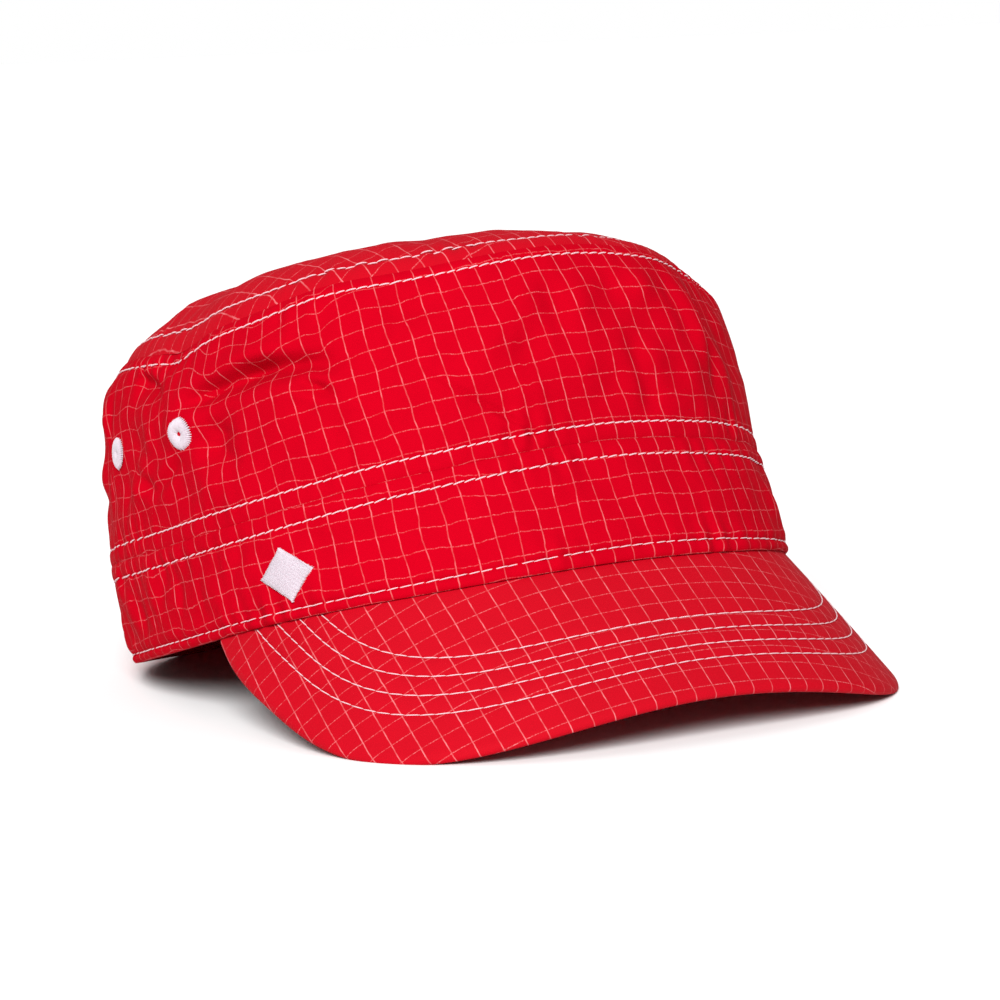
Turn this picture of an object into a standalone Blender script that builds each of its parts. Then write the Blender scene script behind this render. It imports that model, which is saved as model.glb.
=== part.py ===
"""Castro cap: a flat-topped soft cap with a straight band and a short curved peak.

The cap is built standing level, with +X to the wearer's left and -Y forward, and is then
tilted back until it rests on the back of its band and on the two low corners of its peak.
"""
import bpy
import math
import numpy as np

# Driving sizes, in metres and degrees
HALF_WIDTH = 0.0845
HALF_LENGTH = 0.0954
BAND_HEIGHT = 0.0325
CROWN_HEIGHT = 0.0520
DOME_HEIGHT = 0.0088
DOME_RISE = -0.055
DOME_LEAN = 0.055
CROWN_CLOTH = 0.0016
BAND_CLOTH = 0.0024
TOP_CLOTH = 0.0016
GAP = 0.0003
REST_TILT = 12.55
PRESS = 0.0008

# Swell of the cloth out of the straight wall
CROWN_SWELL = 0.0030
BAND_SWELL = 0.0009
SEAM_PINCH = 0.0012

# Peak
PEAK_REACH = 0.0296
PEAK_HALF_WIDTH = 0.0885
PEAK_THICK = 0.0030
PEAK_CENTRE = 0.0533
PEAK_BACK_SHARE = 0.91
PEAK_POWER = 2.39
PEAK_END = 0.0016
PEAK_SLOPE_FRONT = 1.155
PEAK_SLOPE_SIDE = 1.80
PEAK_DROOP = 0.00196
PEAK_UNDER = 0.0006

# Eyelets
EYELET_RADIUS = 0.0046
EYELET_BORE = 0.0008
EYELET_RISE = 0.0010
EYELET_HOLE = 0.0011
EYELET_HEIGHT = 0.535

# Patch on the band
PATCH_WIDTH = 0.0180
PATCH_HEIGHT = 0.0150
PATCH_RISE = 0.0007
PATCH_ANGLE = 55.5
PATCH_LEVEL = 0.42

# Colours
CLOTH_RED = (0.62, 0.012, 0.022, 1.0)
THREAD_WHITE = (0.86, 0.82, 0.84, 1.0)

# Points round the cap
COLUMNS = 72

# How far the top panel's inner skin lies below and inside its outer skin, as shares of its
# thickness, which is square to a gentle slope
TOP_DROP_SHARE = 0.95
TOP_TUCK_SHARE = 0.30

# Plan ovals at the three levels: half width and half length as shares of the cap's own,
# the shift towards the back as a share of the half length, and the roundness power
OVALS = {
    "edge": (1.000, 1.000, 0.000, 2.38),
    "seam": (1.012, 0.976, 0.066, 2.38),
    "top": (0.926, 0.913, 0.054, 2.10),
}

# Heights round the cap, a row each 30 degrees from the front to the back:
# the lower edge and the band seam as shares of the band's height,
# the crown's side as a share of the crown's height
HEIGHTS = (
    # edge, seam, side
    (0.090, 1.080, 1.000),
    (0.055, 1.000, 1.010),
    (0.020, 0.875, 1.030),
    (-0.035, 0.815, 1.020),
    (-0.045, 0.820, 1.105),
    (0.010, 0.860, 1.160),
    (0.060, 0.880, 1.190),
)

# Where the top seam rides up or is pulled down: angle from the front towards the wearer's
# right, half spread in degrees, and rise as a share of the crown's height
PULLS = (
    # angle, spread, rise
    (0.0, 24.0, 0.018),
    (43.0, 12.0, 0.032),
    (81.0, 7.5, -0.038),
    (124.0, 14.0, -0.046),
    (-44.0, 17.0, -0.060),
)

# Band profile from the lower edge to the seam: height share, outward share of the band's
# swell, and the share of the cloth that the edge is rounded in by
BAND_PROFILE = (
    # height, swell, rounding
    (0.000, 0.0, 0.35),
    (0.025, 0.6, 0.00),
    (0.075, 0.9, 0.00),
    (0.120, -0.2, 0.00),
    (0.170, 0.8, 0.00),
    (0.420, 1.0, 0.00),
    (0.750, 0.5, 0.00),
    (0.940, 0.0, 0.00),
    (1.000, 0.0, 0.45),
)

# Crown side profile from the band seam to the top seam: height share, outward share of the
# crown's swell, and the inward share of the seam's pinch
CROWN_PROFILE = (
    # height, swell, pinch
    (0.000, 0.00, 0.5),
    (0.035, 0.05, 0.0),
    (0.140, 0.35, 0.0),
    (0.300, 0.75, 0.0),
    (0.480, 1.00, 0.0),
    (0.660, 0.95, 0.0),
    (0.800, 0.65, 0.0),
    (0.900, 0.25, 0.1),
    (0.960, 0.00, 0.5),
    (1.000, 0.00, 1.5),
)

# Top panel from its edge to its middle: plan share, height share of the dome, and how far
# the seam's allowance puffs it up, as a share of the cloth
DOME_PROFILE = (
    # plan, height, puff
    (1.000, 0.00, 0.0),
    (0.978, 0.11, 0.4),
    (0.930, 0.34, 0.4),
    (0.840, 0.68, 0.2),
    (0.760, 0.87, 0.0),
    (0.660, 0.97, 0.0),
    (0.500, 1.00, 0.0),
    (0.260, 1.00, 0.0),
)

# Dents and folds of the crown's side: angle from the front towards the wearer's right,
# height share, half spread in degrees, half spread as a height share, depth as a share of
# the crown's swell (positive stands out), and lean in degrees for each unit of height
DENTS = (
    # angle, height, spread, tall, depth, lean
    (57.0, 0.67, 16.0, 0.085, -0.95, 0.0),
    (50.0, 0.48, 13.0, 0.15, 0.40, 0.0),
    (80.0, 0.62, 5.5, 0.24, 0.80, 15.0),
    (66.0, 0.50, 6.0, 0.15, -0.55, 0.0),
    (94.0, 0.82, 7.0, 0.09, -0.85, 10.0),
    (84.0, 0.97, 5.0, 0.06, -0.70, 0.0),
    (120.0, 0.84, 22.0, 0.20, 0.80, 0.0),
    (118.0, 0.34, 14.0, 0.16, -0.30, 10.0),
    (136.0, 0.55, 8.0, 0.30, -0.40, 15.0),
    (160.0, 0.80, 10.0, 0.16, -0.60, -20.0),
    (14.0, 0.22, 9.0, 0.07, -0.30, 50.0),
    (-24.0, 0.62, 4.5, 0.28, 0.55, 8.0),
    (-36.0, 0.70, 6.0, 0.26, -0.45, 10.0),
    (-52.0, 0.90, 16.0, 0.14, 0.55, 0.0),
    (-70.0, 0.80, 12.0, 0.11, -0.55, 30.0),
    (-102.0, 0.70, 9.0, 0.20, -0.50, -15.0),
    (-128.0, 0.50, 9.0, 0.32, 0.40, -20.0),
    (-155.0, 0.82, 9.0, 0.14, -0.65, 20.0),
)

# Where the eyelets sit, in degrees from the front on each side
EYELETS = {
    "eyelet_right_front": 75.6,
    "eyelet_right_back": 104.5,
    "eyelet_left_front": -75.6,
    "eyelet_left_back": -104.5,
}


def clear_scene():
    """Removes what is in the scene before the cap is built."""
    for item in list(bpy.data.objects):
        bpy.data.objects.remove(item, do_unlink=True)


def make_material(name, colour, roughness):
    """A plain cloth or thread finish."""
    material = bpy.data.materials.new(name)
    material.use_nodes = True
    shader = material.node_tree.nodes["Principled BSDF"]
    shader.inputs["Base Color"].default_value = colour
    shader.inputs["Roughness"].default_value = roughness
    shader.inputs["Metallic"].default_value = 0.0
    return material


def wrapped(angle):
    """An angle in degrees brought to -180..180."""
    return (angle + 180.0) % 360.0 - 180.0


def height_share(column, angle):
    """A share from the height table, smooth between its rows and alike on both sides."""
    values = np.array([row[column] for row in HEIGHTS])
    last = len(values) - 1
    place = np.abs(wrapped(angle)) / 180.0 * last
    low = np.minimum(place.astype(int), last - 1)
    part = place - low
    before = values[np.abs(low - 1)]
    start = values[low]
    end = values[low + 1]
    after = values[last - np.abs(last - low - 2)]
    bend = 2.0 * before - 5.0 * start + 4.0 * end - after
    twist = 3.0 * (start - end) + after - before
    return start + 0.5 * part * (end - before + part * (bend + part * twist))


def oval(level, angle):
    """Plan point of a level's oval at an angle from the front, towards the wearer's right."""
    width_share, length_share, shift, power = OVALS[level]
    turn = np.radians(angle)
    across = np.abs(np.sin(turn)) / (HALF_WIDTH * width_share)
    along = np.abs(np.cos(turn)) / (HALF_LENGTH * length_share)
    radius = (across ** power + along ** power) ** (-1.0 / power)
    return -radius * np.sin(turn), HALF_LENGTH * shift - radius * np.cos(turn)


def edge_height(angle):
    """Height of the band's lower edge."""
    return BAND_HEIGHT * height_share(0, angle)


def seam_height(angle):
    """Height of the seam between the band and the crown."""
    return BAND_HEIGHT * height_share(1, angle)


def top_height(angle):
    """Height of the seam between the crown's side and its top."""
    share = height_share(2, angle)
    for at, spread, rise in PULLS:
        share = share + rise * np.exp(-(wrapped(angle - at) / spread) ** 2)
    return seam_height(angle) + CROWN_HEIGHT * share


def outward(angle):
    """Level direction out of the wall."""
    step = 0.5
    ahead_x, ahead_y = oval("seam", angle + step)
    behind_x, behind_y = oval("seam", angle - step)
    run_x = ahead_x - behind_x
    run_y = ahead_y - behind_y
    length = np.hypot(run_x, run_y)
    return -run_y / length, run_x / length


def profile_value(table, column, share):
    """A column of a profile table at a height share."""
    shares = [row[0] for row in table]
    values = [row[column] for row in table]
    return np.interp(share, shares, values)


def dent(angle, share):
    """How far the crown's side stands out of its even shape here, less so near its seams."""
    total = np.zeros_like(angle)
    for at, height, spread, tall, depth, lean in DENTS:
        aside = wrapped(angle - at - lean * (share - height)) / spread
        above = (share - height) / tall
        total = total + depth * np.exp(-aside ** 2 - above ** 2)
    fade = np.minimum(1.0, 8.0 * share * (1.0 - share) + 0.25)
    return CROWN_SWELL * total * fade


def between(lower, upper, angle, share, low_height, high_height):
    """Points on the straight wall between two ovals."""
    low_x, low_y = oval(lower, angle)
    high_x, high_y = oval(upper, angle)
    x = low_x + (high_x - low_x) * share
    y = low_y + (high_y - low_y) * share
    z = low_height + (high_height - low_height) * share
    return x, y, z


def band_point(angle, share):
    """Points of the band's outer face."""
    low = edge_height(angle)
    high = seam_height(angle) - GAP / 2.0
    x, y, z = between("edge", "seam", angle, share, low, high)
    out = BAND_SWELL * profile_value(BAND_PROFILE, 1, share)
    out = out - BAND_CLOTH * profile_value(BAND_PROFILE, 2, share)
    out_x, out_y = outward(angle)
    return np.stack([x + out * out_x, y + out * out_y, z], axis=-1)


def crown_point(angle, share):
    """Points of the crown's side, on its outer face."""
    low = seam_height(angle) + GAP / 2.0
    high = top_height(angle) - GAP / 2.0
    x, y, z = between("seam", "top", angle, share, low, high)
    out = CROWN_SWELL * profile_value(CROWN_PROFILE, 1, share) + dent(angle, share)
    out = out - SEAM_PINCH * profile_value(CROWN_PROFILE, 2, share)
    out_x, out_y = outward(angle)
    return np.stack([x + out * out_x, y + out * out_y, z], axis=-1)


def top_point(angle, plan, height, puff):
    """Points of the top panel's outer face, at a plan share, a height share and a puff."""
    x, y = oval("top", angle)
    out_x, out_y = outward(angle)
    pinch = SEAM_PINCH * CROWN_PROFILE[-1][2]
    x = x - pinch * out_x
    y = y - pinch * out_y
    centre_y = HALF_LENGTH * OVALS["top"][2]
    edge = top_height(angle) + GAP / 2.0
    ridge = np.mean(edge) + DOME_HEIGHT + (y - centre_y) * plan * DOME_RISE - x * plan * DOME_LEAN
    z = edge + (ridge - edge) * height + TOP_CLOTH * puff
    return np.stack([x * plan, centre_y + (y - centre_y) * plan, z], axis=-1)


def inner_rows(rows, thick):
    """The same rows moved in by the cloth's thickness, level at both ends."""
    grid = np.stack(rows)
    round_way = np.roll(grid, -1, axis=1) - np.roll(grid, 1, axis=1)
    up_way = np.gradient(grid, axis=0)
    up_way[0] = (0.0, 0.0, 1.0)
    up_way[-1] = (0.0, 0.0, 1.0)
    normal = np.cross(up_way, round_way)
    normal = normal / np.linalg.norm(normal, axis=-1, keepdims=True)
    return list(grid - normal * thick)


def ring_faces(first, second, count):
    """Quads between two loops of points."""
    faces = []
    for i in range(count):
        j = (i + 1) % count
        faces.append((first + i, first + j, second + j, second + i))
    return faces


def tube_mesh(loops):
    """Points and faces of a closed tube through loops that come back to the first."""
    points = np.concatenate(loops)
    count = len(loops[0])
    faces = []
    for k in range(len(loops)):
        nxt = (k + 1) % len(loops)
        faces.extend(ring_faces(k * count, nxt * count, count))
    return points, faces


def wall_mesh(rows, thick):
    """Points and faces of a cloth wall whose outer face runs through these rows."""
    inner = inner_rows(rows, thick)
    return tube_mesh(list(rows) + inner[::-1])


def band_mesh():
    """The band, from its hem to its seam."""
    angle = np.arange(COLUMNS) * 360.0 / COLUMNS
    rows = [band_point(angle, np.full(COLUMNS, row[0])) for row in BAND_PROFILE]
    return wall_mesh(rows, BAND_CLOTH)


def crown_side_mesh():
    """The crown's side, from the band seam to the top seam."""
    angle = np.arange(COLUMNS) * 360.0 / COLUMNS
    rows = [crown_point(angle, np.full(COLUMNS, row[0])) for row in CROWN_PROFILE]
    return wall_mesh(rows, CROWN_CLOTH)


def crown_top_mesh():
    """The top panel: an outer and an inner skin that meet in a level edge."""
    angle = np.arange(COLUMNS) * 360.0 / COLUMNS
    outer = [top_point(angle, *row) for row in DOME_PROFILE]
    out_x, out_y = outward(angle)
    flat = np.stack([out_x, out_y, np.zeros(COLUMNS)], axis=-1)
    inner = [outer[0] - flat * TOP_CLOTH]
    for row in outer[1:]:
        drop = np.array([0.0, 0.0, TOP_CLOTH * TOP_DROP_SHARE])
        inner.append(row - flat * TOP_CLOTH * TOP_TUCK_SHARE - drop)
    loops = inner[::-1] + outer
    points = np.concatenate(loops)
    faces = []
    for k in range(len(loops) - 1):
        faces.extend(ring_faces(k * COLUMNS, (k + 1) * COLUMNS, COLUMNS))
    middle = top_point(angle, 0.0, 1.0, 0.0).mean(axis=0)
    below = middle - np.array([0.0, 0.0, TOP_CLOTH])
    points = np.concatenate([points, middle[None], below[None]])
    top_index = len(points) - 2
    low_index = len(points) - 1
    last = (len(loops) - 1) * COLUMNS
    for i in range(COLUMNS):
        j = (i + 1) % COLUMNS
        faces.append((last + i, last + j, top_index))
        faces.append((j, i, low_index))
    return points, faces


def peak_outline(turn):
    """Plan point of the peak's outer edge; the turn is 0 at its middle."""
    forward = HALF_LENGTH + PEAK_REACH - PEAK_CENTRE
    reach = np.where(np.cos(turn) > 0.0, forward, PEAK_HALF_WIDTH * PEAK_BACK_SHARE)
    across = np.abs(np.sin(turn)) / PEAK_HALF_WIDTH
    along = np.abs(np.cos(turn)) / reach
    radius = (across ** PEAK_POWER + along ** PEAK_POWER) ** (-1.0 / PEAK_POWER)
    return -radius * np.sin(turn), -PEAK_CENTRE - radius * np.cos(turn)


def edge_radius(angle):
    """Distance of the band's lower edge from the middle, in plan."""
    x, y = oval("edge", angle)
    return np.hypot(x, y)


def peak_ends():
    """The turn at which the peak's outline runs in under the band."""
    turn = np.radians(np.linspace(60.0, 170.0, 441))
    x, y = peak_outline(turn)
    beyond = np.hypot(x, y) - edge_radius(np.degrees(np.arctan2(-x, -y)))
    return turn[np.argmax(beyond < PEAK_END)]


def peak_surface(angle, beyond):
    """Points of the peak's upper face, at a distance out from the band's lower edge.

    It slopes down, more at the sides than in front, and droops by a set drop at its reach.
    """
    radius = edge_radius(angle) + beyond
    side = np.sin(np.radians(angle)) ** 2
    slope = PEAK_SLOPE_FRONT + (PEAK_SLOPE_SIDE - PEAK_SLOPE_FRONT) * side
    run = beyond + PEAK_UNDER
    droop = PEAK_DROOP * (run / (PEAK_REACH + PEAK_UNDER)) ** 2
    z = edge_height(angle) - GAP - slope * run - droop
    x = -radius * np.sin(np.radians(angle))
    y = -radius * np.cos(np.radians(angle))
    return np.stack([x, y, z], axis=-1)


def peak_normal(angle, beyond):
    """Upward normal of the peak's upper face."""
    step = PEAK_THICK / 15.0
    turn_step = 0.2
    out_way = peak_surface(angle, beyond + step) - peak_surface(angle, beyond - step)
    round_way = peak_surface(angle + turn_step, beyond) - peak_surface(angle - turn_step, beyond)
    normal = np.cross(round_way, out_way)
    normal = normal / np.linalg.norm(normal, axis=-1, keepdims=True)
    return normal * np.sign(normal[..., 2:3])


def peak_mesh():
    """The peak: sections across it, each a thin slat with a rounded outer edge."""
    sections = 45
    across = (0.0, 0.2, 0.42, 0.64, 0.84, 0.95)
    end = peak_ends()
    turn = end * np.sin(np.linspace(-1.0, 1.0, sections) * math.pi / 2.0)
    x, y = peak_outline(turn)
    angle = np.degrees(np.arctan2(-x, -y))
    reach = np.hypot(x, y) - edge_radius(angle)
    top = []
    low = []
    for share in across:
        beyond = -PEAK_UNDER + (reach + PEAK_UNDER) * share
        point = peak_surface(angle, beyond)
        top.append(point)
        low.append(point - peak_normal(angle, beyond) * PEAK_THICK)
    rim = peak_surface(angle, reach) - peak_normal(angle, reach) * PEAK_THICK * 0.5
    loop = top + [rim] + low[::-1]
    size = len(loop)
    points = np.stack(loop, axis=1).reshape(-1, 3)
    faces = []
    for s in range(sections - 1):
        for i in range(size):
            j = (i + 1) % size
            here = s * size
            after = here + size
            faces.append((here + j, here + i, after + i, after + j))
    for start, ahead in ((0, True), ((sections - 1) * size, False)):
        for i in range(len(across) - 1):
            quad = (start + i, start + i + 1, start + size - 2 - i, start + size - 1 - i)
            faces.append(quad if ahead else quad[::-1])
        i = len(across) - 1
        tip = (start + i, start + i + 1, start + i + 2)
        faces.append(tip if ahead else tip[::-1])
    return points, faces


def wall_frame(point_of, angle, share):
    """Point, outward normal and size of one degree and one share on a wall's outer face."""
    half_degree = 0.5
    step = 0.02
    angle = np.asarray(angle, dtype=float)
    share = np.asarray(share, dtype=float)
    round_way = point_of(angle + half_degree, share) - point_of(angle - half_degree, share)
    up_way = (point_of(angle, share + step) - point_of(angle, share - step)) / (2.0 * step)
    normal = np.cross(up_way, round_way)
    normal = normal / np.linalg.norm(normal, axis=-1, keepdims=True)
    return point_of(angle, share), normal, round_way, up_way


def on_wall(point_of, angle, share, aside, above, lift):
    """Points laid on a wall at metre offsets from one place, lifted off it."""
    _, _, round_way, up_way = wall_frame(point_of, [angle], [share])
    degree = np.linalg.norm(round_way[0])
    unit = np.linalg.norm(up_way[0])
    place, normal, _, _ = wall_frame(point_of, angle + aside / degree, share + above / unit)
    return place + normal * lift[..., None]


def eyelet_mesh(angle):
    """A stitched eyelet: a flat ring that follows the wall, clear of it by the gap."""
    sides = 20
    profile = (
        # radius share from bore to rim, lift share of the rise
        (0.00, 0.0),
        (0.00, 0.6),
        (0.25, 1.0),
        (0.75, 1.0),
        (1.00, 0.5),
        (1.00, 0.0),
    )
    turn = np.arange(sides) * 2.0 * math.pi / sides
    loops = []
    for radius_share, lift_share in profile:
        radius = EYELET_BORE + (EYELET_RADIUS - EYELET_BORE) * radius_share
        lift = np.full(sides, GAP + EYELET_RISE * lift_share)
        aside = radius * np.cos(turn)
        above = radius * np.sin(turn)
        loops.append(on_wall(crown_point, angle, EYELET_HEIGHT, aside, above, lift))
    return tube_mesh(loops)


def patch_mesh():
    """A plain lozenge on the band, clear of it by the gap."""
    profile = (
        # size share of the outline, lift share of the rise
        (0.25, 0.0),
        (1.00, 0.0),
        (1.00, 0.5),
        (0.80, 1.0),
        (0.25, 1.0),
    )
    steps = 8
    share = np.linspace(0.0, 1.0, steps + 1)[:-1]
    corners = ((1.0, 0.0), (0.0, 1.0), (-1.0, 0.0), (0.0, -1.0))
    aside = []
    above = []
    for k, (ax, ay) in enumerate(corners):
        bx, by = corners[(k + 1) % 4]
        aside.append(ax + (bx - ax) * share)
        above.append(ay + (by - ay) * share)
    aside = np.concatenate(aside) * PATCH_WIDTH / 2.0
    above = np.concatenate(above) * PATCH_HEIGHT / 2.0
    loops = []
    for size, lift_share in profile:
        lift = np.full(len(aside), GAP + PATCH_RISE * lift_share)
        loops.append(on_wall(band_point, PATCH_ANGLE, PATCH_LEVEL, aside * size, above * size, lift))
    points = np.concatenate(loops)
    count = len(aside)
    faces = []
    for k in range(len(loops) - 1):
        faces.extend(ring_faces(k * count, (k + 1) * count, count))
    zero = np.zeros(1)
    low = on_wall(band_point, PATCH_ANGLE, PATCH_LEVEL, zero, zero, zero + GAP)
    top = on_wall(band_point, PATCH_ANGLE, PATCH_LEVEL, zero, zero, zero + GAP + PATCH_RISE)
    points = np.concatenate([points, low, top])
    last = (len(loops) - 1) * count
    for i in range(count):
        j = (i + 1) % count
        faces.append((j, i, len(points) - 2))
        faces.append((last + i, last + j, len(points) - 1))
    return points, faces


def tilted(points):
    """The points turned back by the rest tilt, the front rising."""
    turn = math.radians(REST_TILT)
    x, y, z = points.T
    back = y * math.cos(turn) + z * math.sin(turn)
    up = -y * math.sin(turn) + z * math.cos(turn)
    return np.stack([x, back, up], axis=-1)


def add_object(name, points, faces, material):
    """One closed piece as an object at the world's origin, its faces pointing out."""
    mesh = bpy.data.meshes.new(name)
    mesh.from_pydata([tuple(p) for p in points], [], [tuple(f) for f in faces])
    mesh.update()
    corners = np.asarray(points)
    volume = 0.0
    mesh.calc_loop_triangles()
    for triangle in mesh.loop_triangles:
        a, b, c = (corners[i] for i in triangle.vertices)
        volume += np.dot(a, np.cross(b, c))
    if volume < 0.0:
        mesh.flip_normals()
    mesh.shade_smooth()
    mesh.set_sharp_from_angle(angle=math.radians(35.0))
    mesh.materials.append(material)
    item = bpy.data.objects.new(name, mesh)
    bpy.context.scene.collection.objects.link(item)
    return item


def cut_eyelet_holes(wall, frames):
    """Pierces the crown's side behind each eyelet."""
    for name, (place, normal) in frames.items():
        sides = 12
        side_way = np.cross(normal, (0.0, 0.0, 1.0))
        side_way = side_way / np.linalg.norm(side_way)
        up_way = np.cross(side_way, normal)
        turn = np.arange(sides) * 2.0 * math.pi / sides
        ring = np.outer(np.cos(turn), side_way) + np.outer(np.sin(turn), up_way)
        depth = CROWN_CLOTH * 3.0
        near = place - normal * depth + ring * EYELET_HOLE
        far = place + normal * depth + ring * EYELET_HOLE
        points = np.concatenate([near, far])
        faces = ring_faces(0, sides, sides)
        faces.append(tuple(range(sides))[::-1])
        faces.append(tuple(range(sides, 2 * sides)))
        cutter = add_object(name + "_cutter", points, faces, wall.data.materials[0])
        cutter.hide_render = True
        cutter.display_type = "WIRE"
        cut = wall.modifiers.new(name + "_hole", "BOOLEAN")
        cut.operation = "DIFFERENCE"
        cut.solver = "EXACT"
        cut.object = cutter


def build():
    """Builds every piece, rests the cap and centres it over the origin."""
    clear_scene()
    meshes = {
        "crown_top": crown_top_mesh(),
        "crown_side": crown_side_mesh(),
        "band": band_mesh(),
        "peak": peak_mesh(),
        "band_patch": patch_mesh(),
    }
    for name, angle in EYELETS.items():
        meshes[name] = eyelet_mesh(angle)

    rested = {name: tilted(points) for name, (points, _) in meshes.items()}
    lowest = min(rested["band"][:, 2].min(), rested["peak"][:, 2].min())
    every = np.concatenate(list(rested.values()))
    middle = (every.min(axis=0) + every.max(axis=0)) / 2.0
    shift = np.array([-middle[0], -middle[1], -lowest - PRESS])

    white = {"band_patch"} | set(EYELETS)
    objects = {}
    for name, (_, faces) in meshes.items():
        colour = THREAD_WHITE if name in white else CLOTH_RED
        material = make_material(name + "_finish", colour, 0.75)
        points = rested[name] + shift
        points[:, 2] = np.maximum(points[:, 2], 0.0)
        objects[name] = add_object(name, points, faces, material)

    frames = {}
    for name, angle in EYELETS.items():
        place, normal, _, _ = wall_frame(crown_point, [angle], [EYELET_HEIGHT])
        tip = tilted(place + normal) + shift
        spot = tilted(place) + shift
        frames[name] = (spot[0], (tip - spot)[0])
    cut_eyelet_holes(objects["crown_side"], frames)


build()
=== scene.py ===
"""The looks of a castro cap: red grid ripstop, white stitching, satin eyelets and a lozenge.

It is laid out as an add-on. Each group of pieces has its sizes in a property group and is
made by its own operator, and run as a script it dresses the whole cap round its solids.
"""

import functools
import math

import bpy
import numpy as np
from bpy.props import FloatProperty, FloatVectorProperty, IntProperty, PointerProperty
from mathutils import Matrix, Vector


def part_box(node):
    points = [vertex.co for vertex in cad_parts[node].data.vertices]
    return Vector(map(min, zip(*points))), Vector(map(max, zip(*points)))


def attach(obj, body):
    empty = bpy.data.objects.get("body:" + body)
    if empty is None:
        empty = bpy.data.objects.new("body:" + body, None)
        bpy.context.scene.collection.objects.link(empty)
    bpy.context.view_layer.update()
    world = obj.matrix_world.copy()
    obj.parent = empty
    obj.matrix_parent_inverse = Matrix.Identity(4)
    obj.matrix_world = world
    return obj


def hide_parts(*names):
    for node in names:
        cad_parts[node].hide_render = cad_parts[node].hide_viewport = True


bl_info = {
    "name": "Castro Cap",
    "version": (1, 0, 0),
    "blender": (4, 5, 0),
    "location": "View3D > Sidebar > Cap",
    "description": "Dresses a castro cap in ripstop cloth, stitching and embroidery",
    "category": "Object",
}

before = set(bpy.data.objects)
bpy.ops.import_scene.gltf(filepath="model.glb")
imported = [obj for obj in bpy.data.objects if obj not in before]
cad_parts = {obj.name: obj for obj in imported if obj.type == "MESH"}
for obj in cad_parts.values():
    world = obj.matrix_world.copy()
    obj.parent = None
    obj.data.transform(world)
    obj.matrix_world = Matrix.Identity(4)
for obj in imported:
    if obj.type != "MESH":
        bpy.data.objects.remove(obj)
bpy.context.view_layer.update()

# The cap's own sizes, as its solids have them: metres, degrees, slopes, shares and a power
HALF_WIDTH = 0.0845
HALF_LENGTH = 0.0954
BAND_HEIGHT = 0.0325
CROWN_HEIGHT = 0.0520
DOME_HEIGHT = 0.0088
DOME_RISE = -0.055
DOME_LEAN = 0.055
CROWN_CLOTH = 0.0016
BAND_CLOTH = 0.0024
TOP_CLOTH = 0.0016
REST_TILT = 12.55
CROWN_SWELL = 0.0030
BAND_SWELL = 0.0009
SEAM_PINCH = 0.0012
PEAK_REACH = 0.0296
PEAK_HALF_WIDTH = 0.0885
PEAK_THICK = 0.0030
PEAK_CENTRE = 0.0533
PEAK_BACK_SHARE = 0.91
PEAK_POWER = 2.39
PEAK_SLOPE_FRONT = 1.155
PEAK_SLOPE_SIDE = 1.80
PEAK_DROOP = 0.00196
PEAK_UNDER = 0.0006
PEAK_GAP = 0.0002
PEAK_TUCK = 0.0018
PEAK_TIP = 0.0003
EYELET_HEIGHT = 0.535
PATCH_ANGLE = 55.5
PATCH_LEVEL = 0.42
SOLID_COLUMNS = 72

# What is left open between two cloth edges that are sewn together
SEAM_GAP = 0.00001

# Plan ovals, their sizes as shares of the cap's half width and half length
OVALS = {
    # level: width, length, shift towards the back, roundness power
    "edge": (1.000, 1.000, 0.000, 2.38),
    "seam": (1.012, 0.976, 0.066, 2.38),
    "top": (0.926, 0.913, 0.054, 2.10),
}

# Heights round the cap, a row each 30 degrees from the front to the back
HEIGHTS = (
    # edge, seam (of the band's height), side (of the crown's height)
    (0.090, 1.080, 1.000),
    (0.055, 1.000, 1.010),
    (0.020, 0.875, 1.030),
    (-0.035, 0.815, 1.020),
    (-0.045, 0.820, 1.105),
    (0.010, 0.860, 1.160),
    (0.060, 0.880, 1.190),
)

# Where the top seam rides up or is pulled down, with the rise as a share of the crown's height
PULLS = (
    # angle, spread, rise
    (0.0, 24.0, 0.018),
    (43.0, 12.0, 0.032),
    (81.0, 7.5, -0.038),
    (124.0, 14.0, -0.046),
    (-44.0, 17.0, -0.060),
)

# How far the band's cloth swells out between its edges
BAND_FORM = (
    # height, swell
    (0.00, 0.45),
    (0.20, 0.85),
    (0.42, 1.00),
    (0.75, 0.50),
    (1.00, 0.05),
)

# How far the crown's side swells out, and is pinched in at its seams
CROWN_FORM = (
    # height, swell, pinch
    (0.000, 0.00, 0.00),
    (0.035, 0.05, 0.00),
    (0.140, 0.35, 0.00),
    (0.300, 0.75, 0.00),
    (0.480, 1.00, 0.00),
    (0.660, 0.95, 0.00),
    (0.800, 0.65, 0.00),
    (0.900, 0.25, 0.10),
    (0.960, 0.00, 0.50),
    (1.000, 0.00, 1.50),
)

# The top panel from its middle to its edge
TOP_FORM = (
    # plan, height of the dome, puff over the seam allowance
    (0.000, 1.00, 0.0),
    (0.260, 1.00, 0.0),
    (0.500, 1.00, 0.0),
    (0.660, 0.97, 0.0),
    (0.760, 0.87, 0.0),
    (0.840, 0.68, 0.2),
    (0.930, 0.34, 0.4),
    (0.978, 0.11, 0.4),
    (1.000, 0.00, 0.0),
)

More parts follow.
